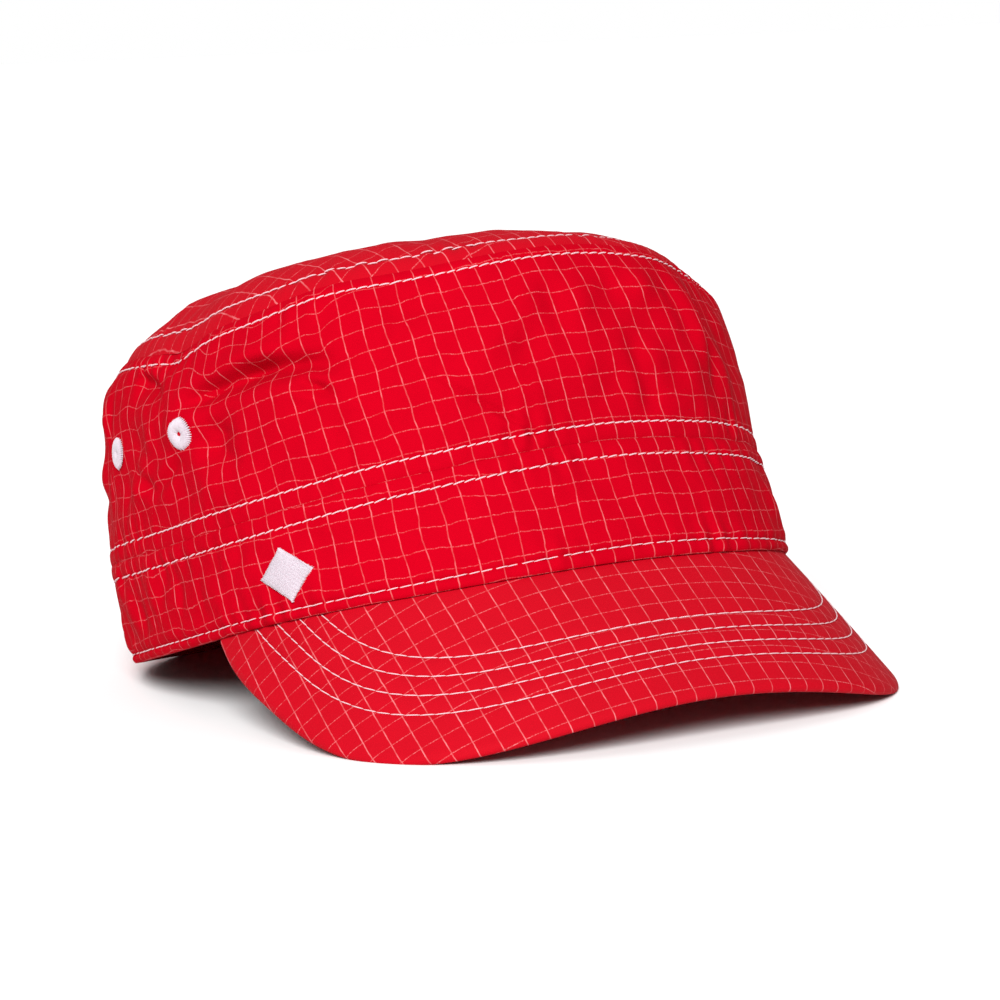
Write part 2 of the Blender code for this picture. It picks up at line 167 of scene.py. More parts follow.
# Broad dents of the crown's side, which its solid has too
DENTS = (
    # angle, height, spread, tall, depth, lean
    (57.0, 0.67, 16.0, 0.085, -0.95, 0.0),
    (50.0, 0.48, 13.0, 0.15, 0.40, 0.0),
    (80.0, 0.62, 5.5, 0.24, 0.80, 15.0),
    (66.0, 0.50, 6.0, 0.15, -0.55, 0.0),
    (94.0, 0.82, 7.0, 0.09, -0.85, 10.0),
    (84.0, 0.97, 5.0, 0.06, -0.70, 0.0),
    (120.0, 0.84, 22.0, 0.20, 0.80, 0.0),
    (118.0, 0.34, 14.0, 0.16, -0.30, 10.0),
    (136.0, 0.55, 8.0, 0.30, -0.40, 15.0),
    (160.0, 0.80, 10.0, 0.16, -0.60, -20.0),
    (14.0, 0.22, 9.0, 0.07, -0.30, 50.0),
    (-24.0, 0.62, 4.5, 0.28, 0.55, 8.0),
    (-36.0, 0.70, 6.0, 0.26, -0.45, 10.0),
    (-52.0, 0.90, 16.0, 0.14, 0.55, 0.0),
    (-70.0, 0.80, 12.0, 0.11, -0.55, 30.0),
    (-102.0, 0.70, 9.0, 0.20, -0.50, -15.0),
    (-128.0, 0.50, 9.0, 0.32, 0.40, -20.0),
    (-155.0, 0.82, 9.0, 0.14, -0.65, 20.0),
)

# Smaller folds of the crown's cloth, in the same way
FOLDS = (
    # angle, height, spread, tall, depth, lean
    (76.0, 0.64, 8.0, 0.10, 0.32, 0.0),
    (71.5, 0.56, 5.0, 0.16, 0.48, 0.0),
    (74.0, 0.43, 10.0, 0.13, -0.85, 0.0),
    (-23.0, 0.52, 13.0, 0.36, 0.50, 0.0),
    (-35.0, 0.50, 4.5, 0.30, -0.50, 5.0),
    (-50.0, 0.62, 7.0, 0.15, 0.42, 0.0),
    (29.0, 0.81, 10.0, 0.065, -0.50, 0.0),
)

# Creases of the crown's side from start to end, as shares of its height and its swell
CROWN_CREASES = (
    # angle, height, angle, height, width, depth
    (76.0, 0.67, 52.0, 0.71, 0.046, 0.95),
    (60.0, 0.72, 41.0, 0.61, 0.044, 0.75),
    (48.0, 0.58, 42.0, 0.47, 0.028, 0.65),
    (99.0, 0.90, 85.0, 0.80, 0.040, 0.48),
    (73.0, 0.48, 62.0, 0.31, 0.036, 0.20),
    (70.0, 0.51, 60.0, 0.39, 0.030, 0.12),
    (98.0, 0.45, 87.0, 0.29, 0.036, 0.34),
    (87.0, 0.28, 78.0, 0.42, 0.030, 0.34),
    (27.0, 0.48, 11.0, 0.08, 0.013, 0.30),
    (30.0, 0.95, 31.0, 0.60, 0.070, 0.36),
    (57.5, 0.48, 57.0, 0.10, 0.050, 0.24),
    (24.0, 0.68, 24.0, 0.42, 0.045, 0.16),
    (41.5, 0.32, 40.5, 0.06, 0.030, 0.18),
    (108.0, 0.84, 112.0, 0.28, 0.040, 0.28),
    (-31.0, 0.78, -27.0, 0.16, 0.075, 0.60),
    (-20.0, 0.84, -25.0, 0.22, 0.060, 0.26),
    (5.0, 0.84, 2.0, 0.42, 0.070, 0.32),
    (-9.0, 0.52, -12.0, 0.12, 0.055, 0.32),
    (-66.0, 0.80, -92.0, 0.70, 0.050, 0.34),
    (-112.0, 0.88, -120.0, 0.30, 0.050, 0.26),
    (148.0, 0.75, 128.0, 0.55, 0.050, 0.30),
    (170.0, 0.30, 150.0, 0.42, 0.040, 0.24),
    (-150.0, 0.35, -172.0, 0.55, 0.045, 0.26),
)

# Creases of the band's cloth, in the same way, as shares of the band's height and swell
BAND_CREASES = (
    # angle, height, angle, height, width, depth
    (64.0, 0.76, 67.0, 0.50, 0.070, 0.60),
    (90.0, 0.72, 93.0, 0.48, 0.070, 0.60),
    (72.0, 0.15, 54.0, 0.14, 0.045, 0.50),
    (77.0, 0.66, 78.0, 0.26, 0.060, 0.45),
    (84.0, 0.62, 86.0, 0.30, 0.050, 0.40),
    (99.0, 0.70, 97.0, 0.25, 0.060, 0.50),
    (107.0, 0.76, 105.0, 0.30, 0.060, 0.45),
    (49.0, 0.64, 41.0, 0.60, 0.060, 0.25),
    (-82.0, 0.66, -74.0, 0.35, 0.060, 0.40),
    (138.0, 0.70, 146.0, 0.30, 0.070, 0.50),
    (-140.0, 0.70, -150.0, 0.30, 0.070, 0.50),
)

# How uneven the band and the lid are beside the crown's side, and the radius of the lid's folds
BAND_UNEVEN = 0.75
LID_UNEVEN = 0.55
LID_FOLD_RADIUS = 0.09

# How far apart the rows of points lie: beside a seam, and in the middle of a wall or the lid
CLOSE_ROWS = 0.00036
WALL_ROWS = 0.00075
LID_ROWS = 0.0024
EDGE_REACH = 0.0072

# The top panel: how wide it counts as, where its middle lies and how far its edge is pinched
LID_WIDTH = 0.080
LID_CENTRE = HALF_LENGTH * OVALS["top"][2]
LID_PINCH = SEAM_PINCH * CROWN_FORM[-1][2]

# Each piece's ripstop: its shine, how far the grid's lines stray, and how much they show
RIPSTOPS = {
    "ripstop_band": (0.008, 0.0015, 0.86),
    "ripstop_side": (0.008, 0.0015, 0.86),
    "ripstop_top": (0.06, 0.0016, 1.05),
    "ripstop_peak": (0.08, 0.0005, 1.12),
}

# How far the crown's grid leans, and how strongly the plies of the two threads show
CROWN_GRID_LEAN = 0.17
STITCH_PLIES = 0.20
SATIN_PLIES = 0.02

# Where the eyelets sit, in degrees from the front on each side
EYELETS = {
    "eyelet_right_front": 75.6,
    "eyelet_right_back": 104.5,
    "eyelet_left_front": -75.6,
    "eyelet_left_back": -104.5,
}

# The photograph's camera: where it stands, its axes and its lens
CAMERA_PLACE = (-0.50234, -0.86799, 0.17738)
CAMERA_RIGHT = (0.85805, -0.51209, -0.03882)
CAMERA_UP = (0.09803, 0.08911, 0.99119)
CAMERA_LENS = 132.04


# Settings


def metres(name, description, default):
    """A setting that is a length."""
    return FloatProperty(
        name=name, description=description, default=default, unit="LENGTH", precision=5)


def colour(name, description, default):
    """A setting that is a colour."""
    return FloatVectorProperty(
        name=name, description=description, default=default, subtype="COLOR", size=3,
        min=0.0, max=1.0)


class CapCloth(bpy.types.PropertyGroup):
    """Sizes of the cloth's own relief."""
    columns: IntProperty(
        name="Columns", description="Points round the cap", default=720, min=72)
    edge_row: metres("Edge row", "Hem stitches above the lower edge, at the sides", 0.0024)
    edge_row_front: metres(
        "Edge row in front", "How much higher the hem stitches run in front", 0.0014)
    seam_row: metres("Seam rows", "Stitches to each side of the band's seam", 0.0044)
    wall_top_row: metres("Wall top row", "Stitches below the top seam", 0.0027)
    lid_row: metres("Lid row", "Stitches inside the top panel's edge", 0.0043)
    lap: metres("Lap", "How proud the doubled cloth beside a seam stands", 0.00016)
    puff: metres("Puff", "How far doubled cloth puffs up between its rows", 0.00018)
    groove: metres("Groove", "How deep a stitch row draws the cloth in", 0.00034)
    groove_width: metres("Groove width", "Half width of a stitch row's groove", 0.00055)
    turn: metres("Turn", "How far a sewn edge turns in", 0.00004)
    sewn_reach: metres("Sewn reach", "How far a seam holds the cloth down beside it", 0.0007)
    pucker: metres("Pucker", "Height of the puckers along the stitch rows", 0.00020)
    pucker_reach: metres("Pucker reach", "How far puckers run out from a row", 0.0055)
    crumple: metres("Crumple", "Height of the cloth's soft unevenness", 0.00046)


class CapWeave(bpy.types.PropertyGroup):
    """The ripstop's grid and colours."""
    pitch: metres("Grid pitch", "Distance between two lines of the grid", 0.00584)
    line: metres("Line", "Width of the lines that run up the cloth", 0.00027)
    cross_line: metres("Cross line", "Width of the lines across the cloth", 0.00023)
    thread: metres("Thread", "Distance between two threads of the weave", 0.00036)
    red: colour("Cloth", "The cloth's red", (0.455, 0.0002, 0.0090))
    # The deep red is partly the cloth's random mottling and partly painted shade, which darkens the
    # weave's hollows as if shade fell in them.
    red_deep: colour("Deep cloth", "The red in the weave's hollows", (0.352, 0.0002, 0.0063))
    line_colour: colour("Grid", "The grid's pale thread", (0.66, 0.225, 0.235))


class CapStitch(bpy.types.PropertyGroup):
    """The topstitching."""
    pitch: metres("Pitch", "Length of one stitch and its hole", 0.0030)
    length: metres("Length", "Length of the thread that shows", 0.0033)
    thickness: metres("Thickness", "Thickness of the thread", 0.00040)
    hem_pitch: metres("Hem pitch", "Length of one stitch along the hem", 0.0036)
    peak_pitch: metres("Peak pitch", "Length of one stitch on the peak", 0.0040)
    peak_thickness: metres("Peak thickness", "Thickness of the thread on the peak", 0.00032)
    peak_channel: metres("Peak channel", "How deep a row draws the peak's cloth in", 0.00026)
    rise: metres("Rise", "How far a stitch bows up", 0.00015)
    dip: metres("Dip", "How deep a stitch's ends sink", 0.00023)
    slant: FloatProperty(
        name="Slant", description="How far a stitch lies across its row",
        default=math.radians(7.0), subtype="ANGLE")
    peak_inset: metres("Peak rows", "The outer peak row inside the peak's outline", 0.0072)
    peak_spacing: metres("Peak spacing", "Distance between the peak's rows", 0.00308)
    peak_rows: IntProperty(
        name="Peak row count", description="Rows of stitches on the peak", default=4, min=1)
    white: colour("Thread", "The thread's white", (0.70, 0.45, 0.48))


class CapEmbroidery(bpy.types.PropertyGroup):
    """The satin-stitched eyelets and lozenge."""
    radius: metres("Eyelet radius", "The eyelet's outer radius", 0.0045)
    bore: metres("Eyelet bore", "Radius of the hole that is left", 0.00045)
    rise: metres("Rise", "How far the satin stands off the cloth", 0.0009)
    thread: metres("Thread", "Thickness of the satin thread", 0.00038)
    threads: IntProperty(
        name="Threads", description="Threads round an eyelet", default=42, min=12)
    width: metres("Lozenge width", "The lozenge from side to side", 0.0178)
    height: metres("Lozenge height", "The lozenge from foot to tip", 0.0148)
    white: colour("Satin", "The satin thread's white", (0.535, 0.475, 0.525))


class CapStage(bpy.types.PropertyGroup):
    """Floor and light."""
    floor: metres("Floor", "Half width of the floor", 40.0)
    floor_colour: colour("Floor colour", "The floor's pale finish", (0.88, 0.88, 0.88))
    ambient: FloatProperty(
        name="Ambient", description="Strength of the light from all round", default=0.25)
    key: FloatProperty(
        name="Key", description="Strength of the large soft light", default=4.9)
    fill: FloatProperty(
        name="Fill", description="Strength of the high light behind", default=0.8)


# The cap's form


def wrapped(angle):
    """An angle in degrees brought to -180..180."""
    return (angle + 180.0) % 360.0 - 180.0


def eased(value):
    """0 to 1, eased at both ends."""
    part = np.clip(value, 0.0, 1.0)
    return part * part * (3.0 - 2.0 * part)


def bell(distance, width):
    """1 at no distance, falling smoothly to 0 on both sides."""
    return np.exp(-(distance / width) ** 2)


def unit(vectors):
    """The vectors brought to a length of one."""
    return vectors / np.linalg.norm(vectors, axis=-1, keepdims=True)


def height_share(column, angle):
    """A share from the height table, smooth between its rows and alike on both sides."""
    values = np.array([row[column] for row in HEIGHTS])
    last = len(values) - 1
    place = np.abs(wrapped(angle)) / 180.0 * last
    low = np.minimum(place.astype(int), last - 1)
    part = place - low
    before = values[np.abs(low - 1)]
    start = values[low]
    end = values[low + 1]
    after = values[last - np.abs(last - low - 2)]
    bend = 2.0 * before - 5.0 * start + 4.0 * end - after
    twist = 3.0 * (start - end) + after - before
    return start + 0.5 * part * (end - before + part * (bend + part * twist))


def oval_radius(turn, half_width, half_length, power):
    """Radius of a rounded oval at a turn from its front."""
    across = np.abs(np.sin(turn)) / half_width
    along = np.abs(np.cos(turn)) / half_length
    return (across ** power + along ** power) ** (-1.0 / power)


def oval(level, angle):
    """Plan point of a level's oval at an angle from the front, towards the wearer's right."""
    width_share, length_share, shift, power = OVALS[level]
    turn = np.radians(angle)
    radius = oval_radius(turn, HALF_WIDTH * width_share, HALF_LENGTH * length_share, power)
    return -radius * np.sin(turn), HALF_LENGTH * shift - radius * np.cos(turn)


def edge_height(angle):
    """Height of the band's lower edge."""
    return BAND_HEIGHT * height_share(0, angle)


def seam_height(angle):
    """Height of the seam between the band and the crown."""
    return BAND_HEIGHT * height_share(1, angle)


def top_height(angle):
    """Height of the seam between the crown's side and its top."""
    share = height_share(2, angle)
    for at, spread, rise in PULLS:
        share = share + rise * bell(wrapped(angle - at), spread)
    return seam_height(angle) + CROWN_HEIGHT * share


def outward(angle):
    """Level direction out of the wall."""
    step = 0.5
    ahead_x, ahead_y = oval("seam", angle + step)
    behind_x, behind_y = oval("seam", angle - step)
    run_x = ahead_x - behind_x
    run_y = ahead_y - behind_y
    length = np.hypot(run_x, run_y)
    return -run_y / length, run_x / length


def arc(angle):
    """Distance round the cap along the band's seam, from the middle of the front."""
    samples = 1441
    turns = np.linspace(-180.0, 180.0, samples)
    x, y = oval("seam", turns)
    length = np.concatenate([[0.0], np.cumsum(np.hypot(np.diff(x), np.diff(y)))])
    return np.interp(angle, turns, length - length[samples // 2])


def smooth_value(table, column, share):
    """A column of a form table at a share, on a smooth curve through its rows."""
    at = np.array([row[0] for row in table])
    value = np.array([row[column] for row in table])
    slope = np.gradient(value, at)
    share = np.clip(share, at[0], at[-1])
    low = np.clip(np.searchsorted(at, share, side="right") - 1, 0, len(at) - 2)
    step = at[low + 1] - at[low]
    part = (share - at[low]) / step
    rise = value[low + 1] - value[low]
    curve = slope[low] * step
    finish = slope[low + 1] * step
    cubic = curve + finish - 2.0 * rise
    square = 3.0 * rise - 2.0 * curve - finish
    return value[low] + part * (curve + part * (square + part * cubic))


# Relief of the cloth


def off_edges(share, climb, least=0.0):
    """The least value at a wall's two edges and 1 away from them."""
    return np.minimum(1.0, climb * share * (1.0 - share) + least)


def at_sides(angle, spread):
    """0 in front, and 1 at the sides and the back."""
    front = 55.0
    return eased((np.abs(wrapped(angle)) - front) / spread)


def ripples(angle, fewest, most, seed):
    """Uneven waves round the cap, about one high."""
    random = np.random.default_rng(seed)
    counts = np.arange(fewest, most + 1, 3)
    total = np.zeros_like(angle)
    for count in counts:
        phase = random.uniform(0.0, 2.0 * math.pi)
        total = total + np.cos(np.radians(angle) * count + phase)
    return total * math.sqrt(2.0 / len(counts))


def crumpled(angle, height, seed):
    """Soft uneven folds in every direction, about one high; the height is in metres."""
    random = np.random.default_rng(seed)
    waves = 26
    shortest = 0.018
    contrast = 1.3
    total = np.zeros(np.broadcast(angle, height).shape)
    for _ in range(waves):
        count = int(random.integers(7, 40))
        rise = random.uniform(-1.0, 1.0) * 2.0 * math.pi / shortest
        phase = random.uniform(0.0, 2.0 * math.pi)
        wave = np.cos(np.radians(angle) * count + height * rise + phase)
        total = total + wave * math.sqrt(16.0 / (count + 4.0))
    total = total / math.sqrt(waves / 2.0)
    return np.sign(total) * np.abs(total) ** contrast


def dents(angle, share):
    """The dents and bulges of the crown's side."""
    total = np.zeros(np.broadcast(angle, share).shape)
    for at, height, spread, tall, depth, lean in DENTS + FOLDS:
        aside = wrapped(angle - at - lean * (share - height))
        total = total + depth * bell(aside, spread) * bell(share - height, tall)
    return CROWN_SWELL * total * off_edges(share, 8.0, least=0.25)


def creases(table, angle, share, height, swell):
    """Sharp valleys with a soft ridge beside them, each along a line on the wall."""
    ridge_share = 0.42
    ridge_place = 2.0
    ridge_width = 1.3
    total = np.zeros(np.broadcast(angle, share).shape)
    for start, start_level, end, end_level, width, depth in table:
        degree = abs(arc(start) - arc(end)) / max(abs(start - end), 1.0)
        run_x = (end - start) * degree
        run_y = (end_level - start_level) * height
        length = math.hypot(run_x, run_y)
        x = wrapped(angle - start) * degree
        y = (share - start_level) * height
        along = (x * run_x + y * run_y) / length ** 2
        aside = (x * run_y - y * run_x) / length / (width * height)
        reach = np.exp(-(2.1 * (along - 0.5)) ** 4)
        ridge = bell(aside - ridge_place, ridge_width) + bell(aside + ridge_place, ridge_width)
        total = total + depth * reach * (ridge_share * ridge - bell(aside, 1.0))
    return swell * total


def eyelet_calm(angle, share):
    """0 at an eyelet, whose stitching holds the cloth flat, and 1 away from it."""
    reach = 0.006
    metres_a_degree = 0.0015
    calm = np.ones(np.broadcast(angle, share).shape)
    for at in EYELETS.values():
        across = wrapped(angle - at) * metres_a_degree
        above = (share - EYELET_HEIGHT) * CROWN_HEIGHT
        calm = calm * (1.0 - bell(across, reach) * bell(above, reach))
    return calm


def stitch_groove(cloth, distance, row, angle):
    """The groove that a stitch row draws, about one deep, with a beat for each stitch."""
    beat = 0.18
    pitch = bpy.context.scene.cap_stitch.pitch
    depth = 1.0 - beat + beat * np.cos(2.0 * math.pi * arc(wrapped(angle)) / pitch)
    return bell(distance - row, cloth.groove_width) * depth


def puckers(cloth, distance, row, angle, quick, slow, seed):
    """Puckers that run out from a stitch row, stronger along some stretches of it."""
    strength = 0.7 + 0.5 * ripples(angle, *slow, seed + 1)
    waves = ripples(angle, *quick, seed) * strength
    return cloth.pucker * waves * np.exp(-np.abs(distance - row) / cloth.pucker_reach)


def sewn_edge(cloth, distance, row, angle, seed):
    """Relief beside a sewn edge: the doubled cloth, its stitch row's groove and puckers."""
    lap_fade = 0.0014
    turn_reach = 0.00045
    lap = cloth.lap * (1.0 - eased((distance - row) / lap_fade + 0.5))
    wrinkles = puckers(cloth, distance, row, angle, quick=(58, 112), slow=(5, 14), seed=seed)
    free = 1.0 - np.exp(-distance / cloth.sewn_reach)
    puff = cloth.puff * np.sin(math.pi * np.clip(distance / row, 0.0, 1.0))
    sunk = cloth.groove * stitch_groove(cloth, distance, row, angle)
    turned = cloth.turn * np.exp(-distance / turn_reach)
    return (lap + wrinkles) * free + puff - sunk - turned


def edge_row_height(cloth, angle):
    """How far above the lower edge the hem's stitches run."""
    front_spread = 34.0
    return cloth.edge_row + cloth.edge_row_front * bell(wrapped(angle), front_spread)


def hem(cloth, distance, angle):
    """Relief of the band's rolled hem and of its stitch row."""
    thicker = 1.5
    ridge = 0.00030
    ridge_above = 0.0022
    ridge_width = 0.0015
    rounding = BAND_CLOTH * 0.16
    rounding_reach = 0.0005
    row = edge_row_height(cloth, angle)
    roll = np.sin(math.pi * np.clip(distance / row, 0.0, 1.0)) ** 0.8
    groove = stitch_groove(cloth, distance, row, angle)
    relief = thicker * (cloth.puff * roll - cloth.groove * groove)
    relief = relief + ridge * bell(distance - row - ridge_above, ridge_width)
    wrinkles = puckers(cloth, distance, row, angle, quick=(60, 120), slow=(5, 13), seed=31)
    return relief + wrinkles - rounding * np.exp(-distance / rounding_reach)


def uneven(cloth, angle, share, above, seed):
    """The cloth's soft unevenness, none at its seams and more at the sides and the back."""
    sides_more = 1.0 + 0.3 * at_sides(angle, 34.0)
    return cloth.crumple * crumpled(angle, above, seed) * off_edges(share, 5.0) * sides_more


def wall_point(lower, upper, angle, share, low_height, high_height, out):
    """Points on a wall between two ovals, moved out of the straight wall."""
    low_x, low_y = oval(lower, angle)
    high_x, high_y = oval(upper, angle)
    out_x, out_y = outward(angle)
    x = low_x + (high_x - low_x) * share + out * out_x
    y = low_y + (high_y - low_y) * share + out * out_y
    z = low_height + (high_height - low_height) * share
    return np.stack(np.broadcast_arrays(x, y, z), axis=-1)


def band_cloth(angle, share, fine=True):
    """Points of the band's outer face."""
    cloth = bpy.context.scene.cap_cloth
    low = edge_height(angle)
    high = seam_height(angle) - SEAM_GAP / 2.0
    out = BAND_SWELL * smooth_value(BAND_FORM, 1, share)
    out = out + creases(BAND_CREASES, angle, share, BAND_HEIGHT, BAND_SWELL)
    if fine:
        above = share * (high - low)
        below = (1.0 - share) * (high - low)
        out = out + hem(cloth, above, angle)
        out = out + sewn_edge(cloth, below, cloth.seam_row, angle, seed=41)
        out = out + BAND_UNEVEN * uneven(cloth, angle, share, above, seed=51)
    return wall_point("edge", "seam", angle, share, low, high, out)


def crown_cloth(angle, share, fine=True):
    """Points of the crown's side, on its outer face."""
    cloth = bpy.context.scene.cap_cloth
    low = seam_height(angle) + SEAM_GAP / 2.0
    high = top_height(angle) - SEAM_GAP / 2.0
    calm = eyelet_calm(angle, share)
    out = CROWN_SWELL * smooth_value(CROWN_FORM, 1, share) + dents(angle, share)
    out = out - SEAM_PINCH * smooth_value(CROWN_FORM, 2, share)
    out = out + creases(CROWN_CREASES, angle, share, CROWN_HEIGHT, CROWN_SWELL) * calm
    if fine:
        above = share * (high - low)
        below = (1.0 - share) * (high - low)
        out = out + sewn_edge(cloth, above, cloth.seam_row, angle, seed=61)
        out = out + sewn_edge(cloth, below, cloth.wall_top_row, angle, seed=71)
        out = out + uneven(cloth, angle, share, above, seed=81) * calm
    return wall_point("seam", "top", angle, share, low, high, out)


def lid_edge(angle):
    """Plan point of the top panel's edge, counted from its middle."""
    x, y = oval("top", angle)
    out_x, out_y = outward(angle)
    return x - LID_PINCH * out_x, y - LID_PINCH * out_y - LID_CENTRE


def top_cloth(angle, plan, fine=True):
    """Points of the top panel's outer face, at a share of the way out from its middle."""
    cloth = bpy.context.scene.cap_cloth
    edge_x, edge_y = lid_edge(angle)
    x = edge_x * plan
    y = edge_y * plan
    edge = top_height(angle) + SEAM_GAP / 2.0
    mean_edge = np.mean(top_height(np.arange(SOLID_COLUMNS) * 360.0 / SOLID_COLUMNS))
    ridge = mean_edge + DOME_HEIGHT + y * DOME_RISE - x * DOME_LEAN
    z = edge + (ridge - edge) * smooth_value(TOP_FORM, 1, plan)
    z = z + TOP_CLOTH * smooth_value(TOP_FORM, 2, plan)
    if fine:
        inside = (1.0 - plan) * np.hypot(edge_x, edge_y)
        z = z + sewn_edge(cloth, inside, cloth.lid_row, angle, seed=91)
        folds = crumpled(np.degrees(x / LID_FOLD_RADIUS), y, seed=95)
        z = z + LID_UNEVEN * cloth.crumple * folds * np.minimum(1.0, 6.0 * (1.0 - plan))
    return np.stack(np.broadcast_arrays(x, LID_CENTRE + y, z), axis=-1)


def plain(face):
    """A face of the cloth without its fine relief."""
    return functools.partial(face, fine=False)


# The peak's form


def peak_reach(ahead, inset):
    """Half width and reach of the peak's outline, or of a line inside it, ahead or behind."""
    front = HALF_LENGTH + PEAK_REACH - PEAK_CENTRE - inset
    back = PEAK_HALF_WIDTH * PEAK_BACK_SHARE - inset
    return PEAK_HALF_WIDTH - inset, np.where(ahead, front, back)


def peak_outline(turn, inset=0.0):
    """Plan point of the peak's outer edge, or of a line inside it; the turn is 0 in front."""
    radius = oval_radius(turn, *peak_reach(np.cos(turn) > 0.0, inset), PEAK_POWER)
    return -radius * np.sin(turn), -PEAK_CENTRE - radius * np.cos(turn)


def edge_radius(angle):
    """Distance of the band's lower edge from the middle, in plan."""
    return np.hypot(*oval("edge", angle))


def beyond_edge(x, y):
    """Angle of a plan point from the front, and how far out of the lower edge it lies."""
    angle = np.degrees(np.arctan2(-x, -y))
    return angle, np.hypot(x, y) - edge_radius(angle)


def peak_ends(inset, beyond):
    """The turn at which a line inside the peak's outline runs in under the band."""
    eighths = np.arange(50 * 8, 170 * 8 + 1)
    turn = np.radians(eighths / 8.0)
    left = beyond_edge(*peak_outline(turn, inset))[1]
    return turn[np.argmax(left < beyond)]


def inset_at(x, y):
    """How far inside the peak's outline plan points lie, counted as its rows' insets are."""
    rounds = 8
    deepest = PEAK_HALF_WIDTH * 0.6
    inset = np.zeros_like(x)
    for _ in range(rounds):
        half_width, reach = peak_reach(y + PEAK_CENTRE < 0.0, inset)
        across = (np.abs(x) / half_width) ** PEAK_POWER
        along = (np.abs(y + PEAK_CENTRE) / reach) ** PEAK_POWER
        growth = PEAK_POWER * (across / half_width + along / reach)
        inset = np.clip(inset - (across + along - 1.0) / growth, 0.0, deepest)
    return inset


def peak_rows():
    """How far inside the peak's outline each of its stitch rows runs."""
    stitch = bpy.context.scene.cap_stitch
    return [stitch.peak_inset + stitch.peak_spacing * k for k in range(stitch.peak_rows)]


def peak_relief(x, y):
    """Relief of the peak's cloth at plan points: shallow channels along its stitch rows."""
    channel_width = 0.0006
    inside = inset_at(x, y)
    channels = sum(bell(inside - row, channel_width) for row in peak_rows())
    return -bpy.context.scene.cap_stitch.peak_channel * channels


def peak_surface(angle, beyond):
    """Points of the peak's upper face, at a distance out from the band's lower edge."""
    radius = edge_radius(angle) + beyond
    turn = np.radians(angle)
    slope = PEAK_SLOPE_FRONT + (PEAK_SLOPE_SIDE - PEAK_SLOPE_FRONT) * np.sin(turn) ** 2
    run = beyond + PEAK_UNDER
    droop = PEAK_DROOP * (run / (PEAK_REACH + PEAK_UNDER)) ** 2
    z = edge_height(angle) - PEAK_GAP - slope * run - droop
    return np.stack([-radius * np.sin(turn), -radius * np.cos(turn), z], axis=-1)


def peak_normal(angle, beyond):
    """Upward normal of the peak's upper face."""
    step = PEAK_THICK / 15.0
    turn_step = 0.2
    out_way = peak_surface(angle, beyond + step) - peak_surface(angle, beyond - step)
    round_way = peak_surface(angle + turn_step, beyond) - peak_surface(angle - turn_step, beyond)
    normal = unit(np.cross(round_way, out_way))
    return normal * np.sign(normal[..., 2:3])


def peak_loops(angle, reach):
    """The board from its inner edge out over its upper face, round its rim and back below."""
    face_rows = 91
    rim_rows = 8
    half = PEAK_THICK / 2.0
    rim = np.minimum(half, (reach + PEAK_TUCK) * 0.45)
    rows = []
    for k in range(face_rows):
        rows.append(((reach - rim + PEAK_TUCK) * k / face_rows - PEAK_TUCK, half))
    for k in range(rim_rows):
        bend = math.pi / 2.0 * k / rim_rows
        rows.append((reach - rim + rim * math.sin(bend), half * math.cos(bend)))
    top = []
    low = []
    for place, (beyond, lift) in enumerate(rows):
        surface = peak_surface(angle, beyond)
        normal = peak_normal(angle, beyond)
        relief = peak_relief(surface[:, 0], surface[:, 1])
        top.append(surface + normal * (lift + relief - half)[:, None])
        if place % 2 == 0:
            low.append(surface - normal * (lift + half))
    edge = peak_surface(angle, reach) - peak_normal(angle, reach) * half
    return top + [edge] + low[::-1]


def peak_faces(sections, size):
    """Quads between the peak's sections, and a fan of triangles over each of its tips."""
    row = np.arange(size)
    following = (row + 1) % size
    here = np.arange(sections - 1)[:, None] * size
    after = here + size
    quads = np.stack([here + following, here + row, after + row, after + following], axis=-1)
    fan = np.stack([np.zeros_like(row[2:]), row[1:-1], row[2:]], axis=1)
    return quads.reshape(-1, 4), np.concatenate([fan, fan[:, ::-1] + (sections - 1) * size])


def third_corner(flat_a, flat_b, a, b, c, side):
    """Where the third corner of a triangle falls when its first two are laid flat."""
    along = np.dot(c - a, b - a) / np.linalg.norm(b - a)
    aside = math.sqrt(max(np.dot(c - a, c - a) - along ** 2, 0.0))
    way = unit(flat_b - flat_a)
    return flat_a + way * along + np.array([way[1], -way[0]]) * aside * side


def peak_unroll(loop):
    """Weave coordinates on the peak, as if its board were laid flat, section by section."""
    inner = loop[0]
    outer = loop[len(loop) // 2]
    count = len(inner)
    middle = count // 2
    flat_in = np.zeros((count, 2))
    flat_out = np.zeros((count, 2))
    width = np.linalg.norm(outer - inner, axis=1)
    flat_out[middle] = (0.0, -width[middle])
    for step, sections in ((1, range(middle, count - 1)), (-1, range(middle, 0, -1))):
        for at in sections:
            after = at + step
            flat_in[after] = third_corner(
                flat_in[at], flat_out[at], inner[at], outer[at], inner[after], step)
            flat_out[after] = third_corner(
                flat_in[after], flat_out[at], inner[after], outer[at], outer[after], step)
    way = (flat_out - flat_in) / np.maximum(width, 1e-6)[:, None]
    steps = np.linalg.norm(np.diff(np.stack(loop), axis=0), axis=-1)
    run = np.concatenate([np.zeros((1, count)), np.cumsum(steps, axis=0)])
    places = flat_in[None] + way[None] * run[..., None]
    return places.transpose(1, 0, 2).reshape(-1, 2)


# Placing


def tilted(points):
    """The points turned back by the rest tilt, the front rising."""
    turn = math.radians(REST_TILT)
    x, y, z = np.moveaxis(np.asarray(points), -1, 0)
    back = y * math.cos(turn) + z * math.sin(turn)
    up = -y * math.sin(turn) + z * math.cos(turn)
    return np.stack([x, back, up], axis=-1)


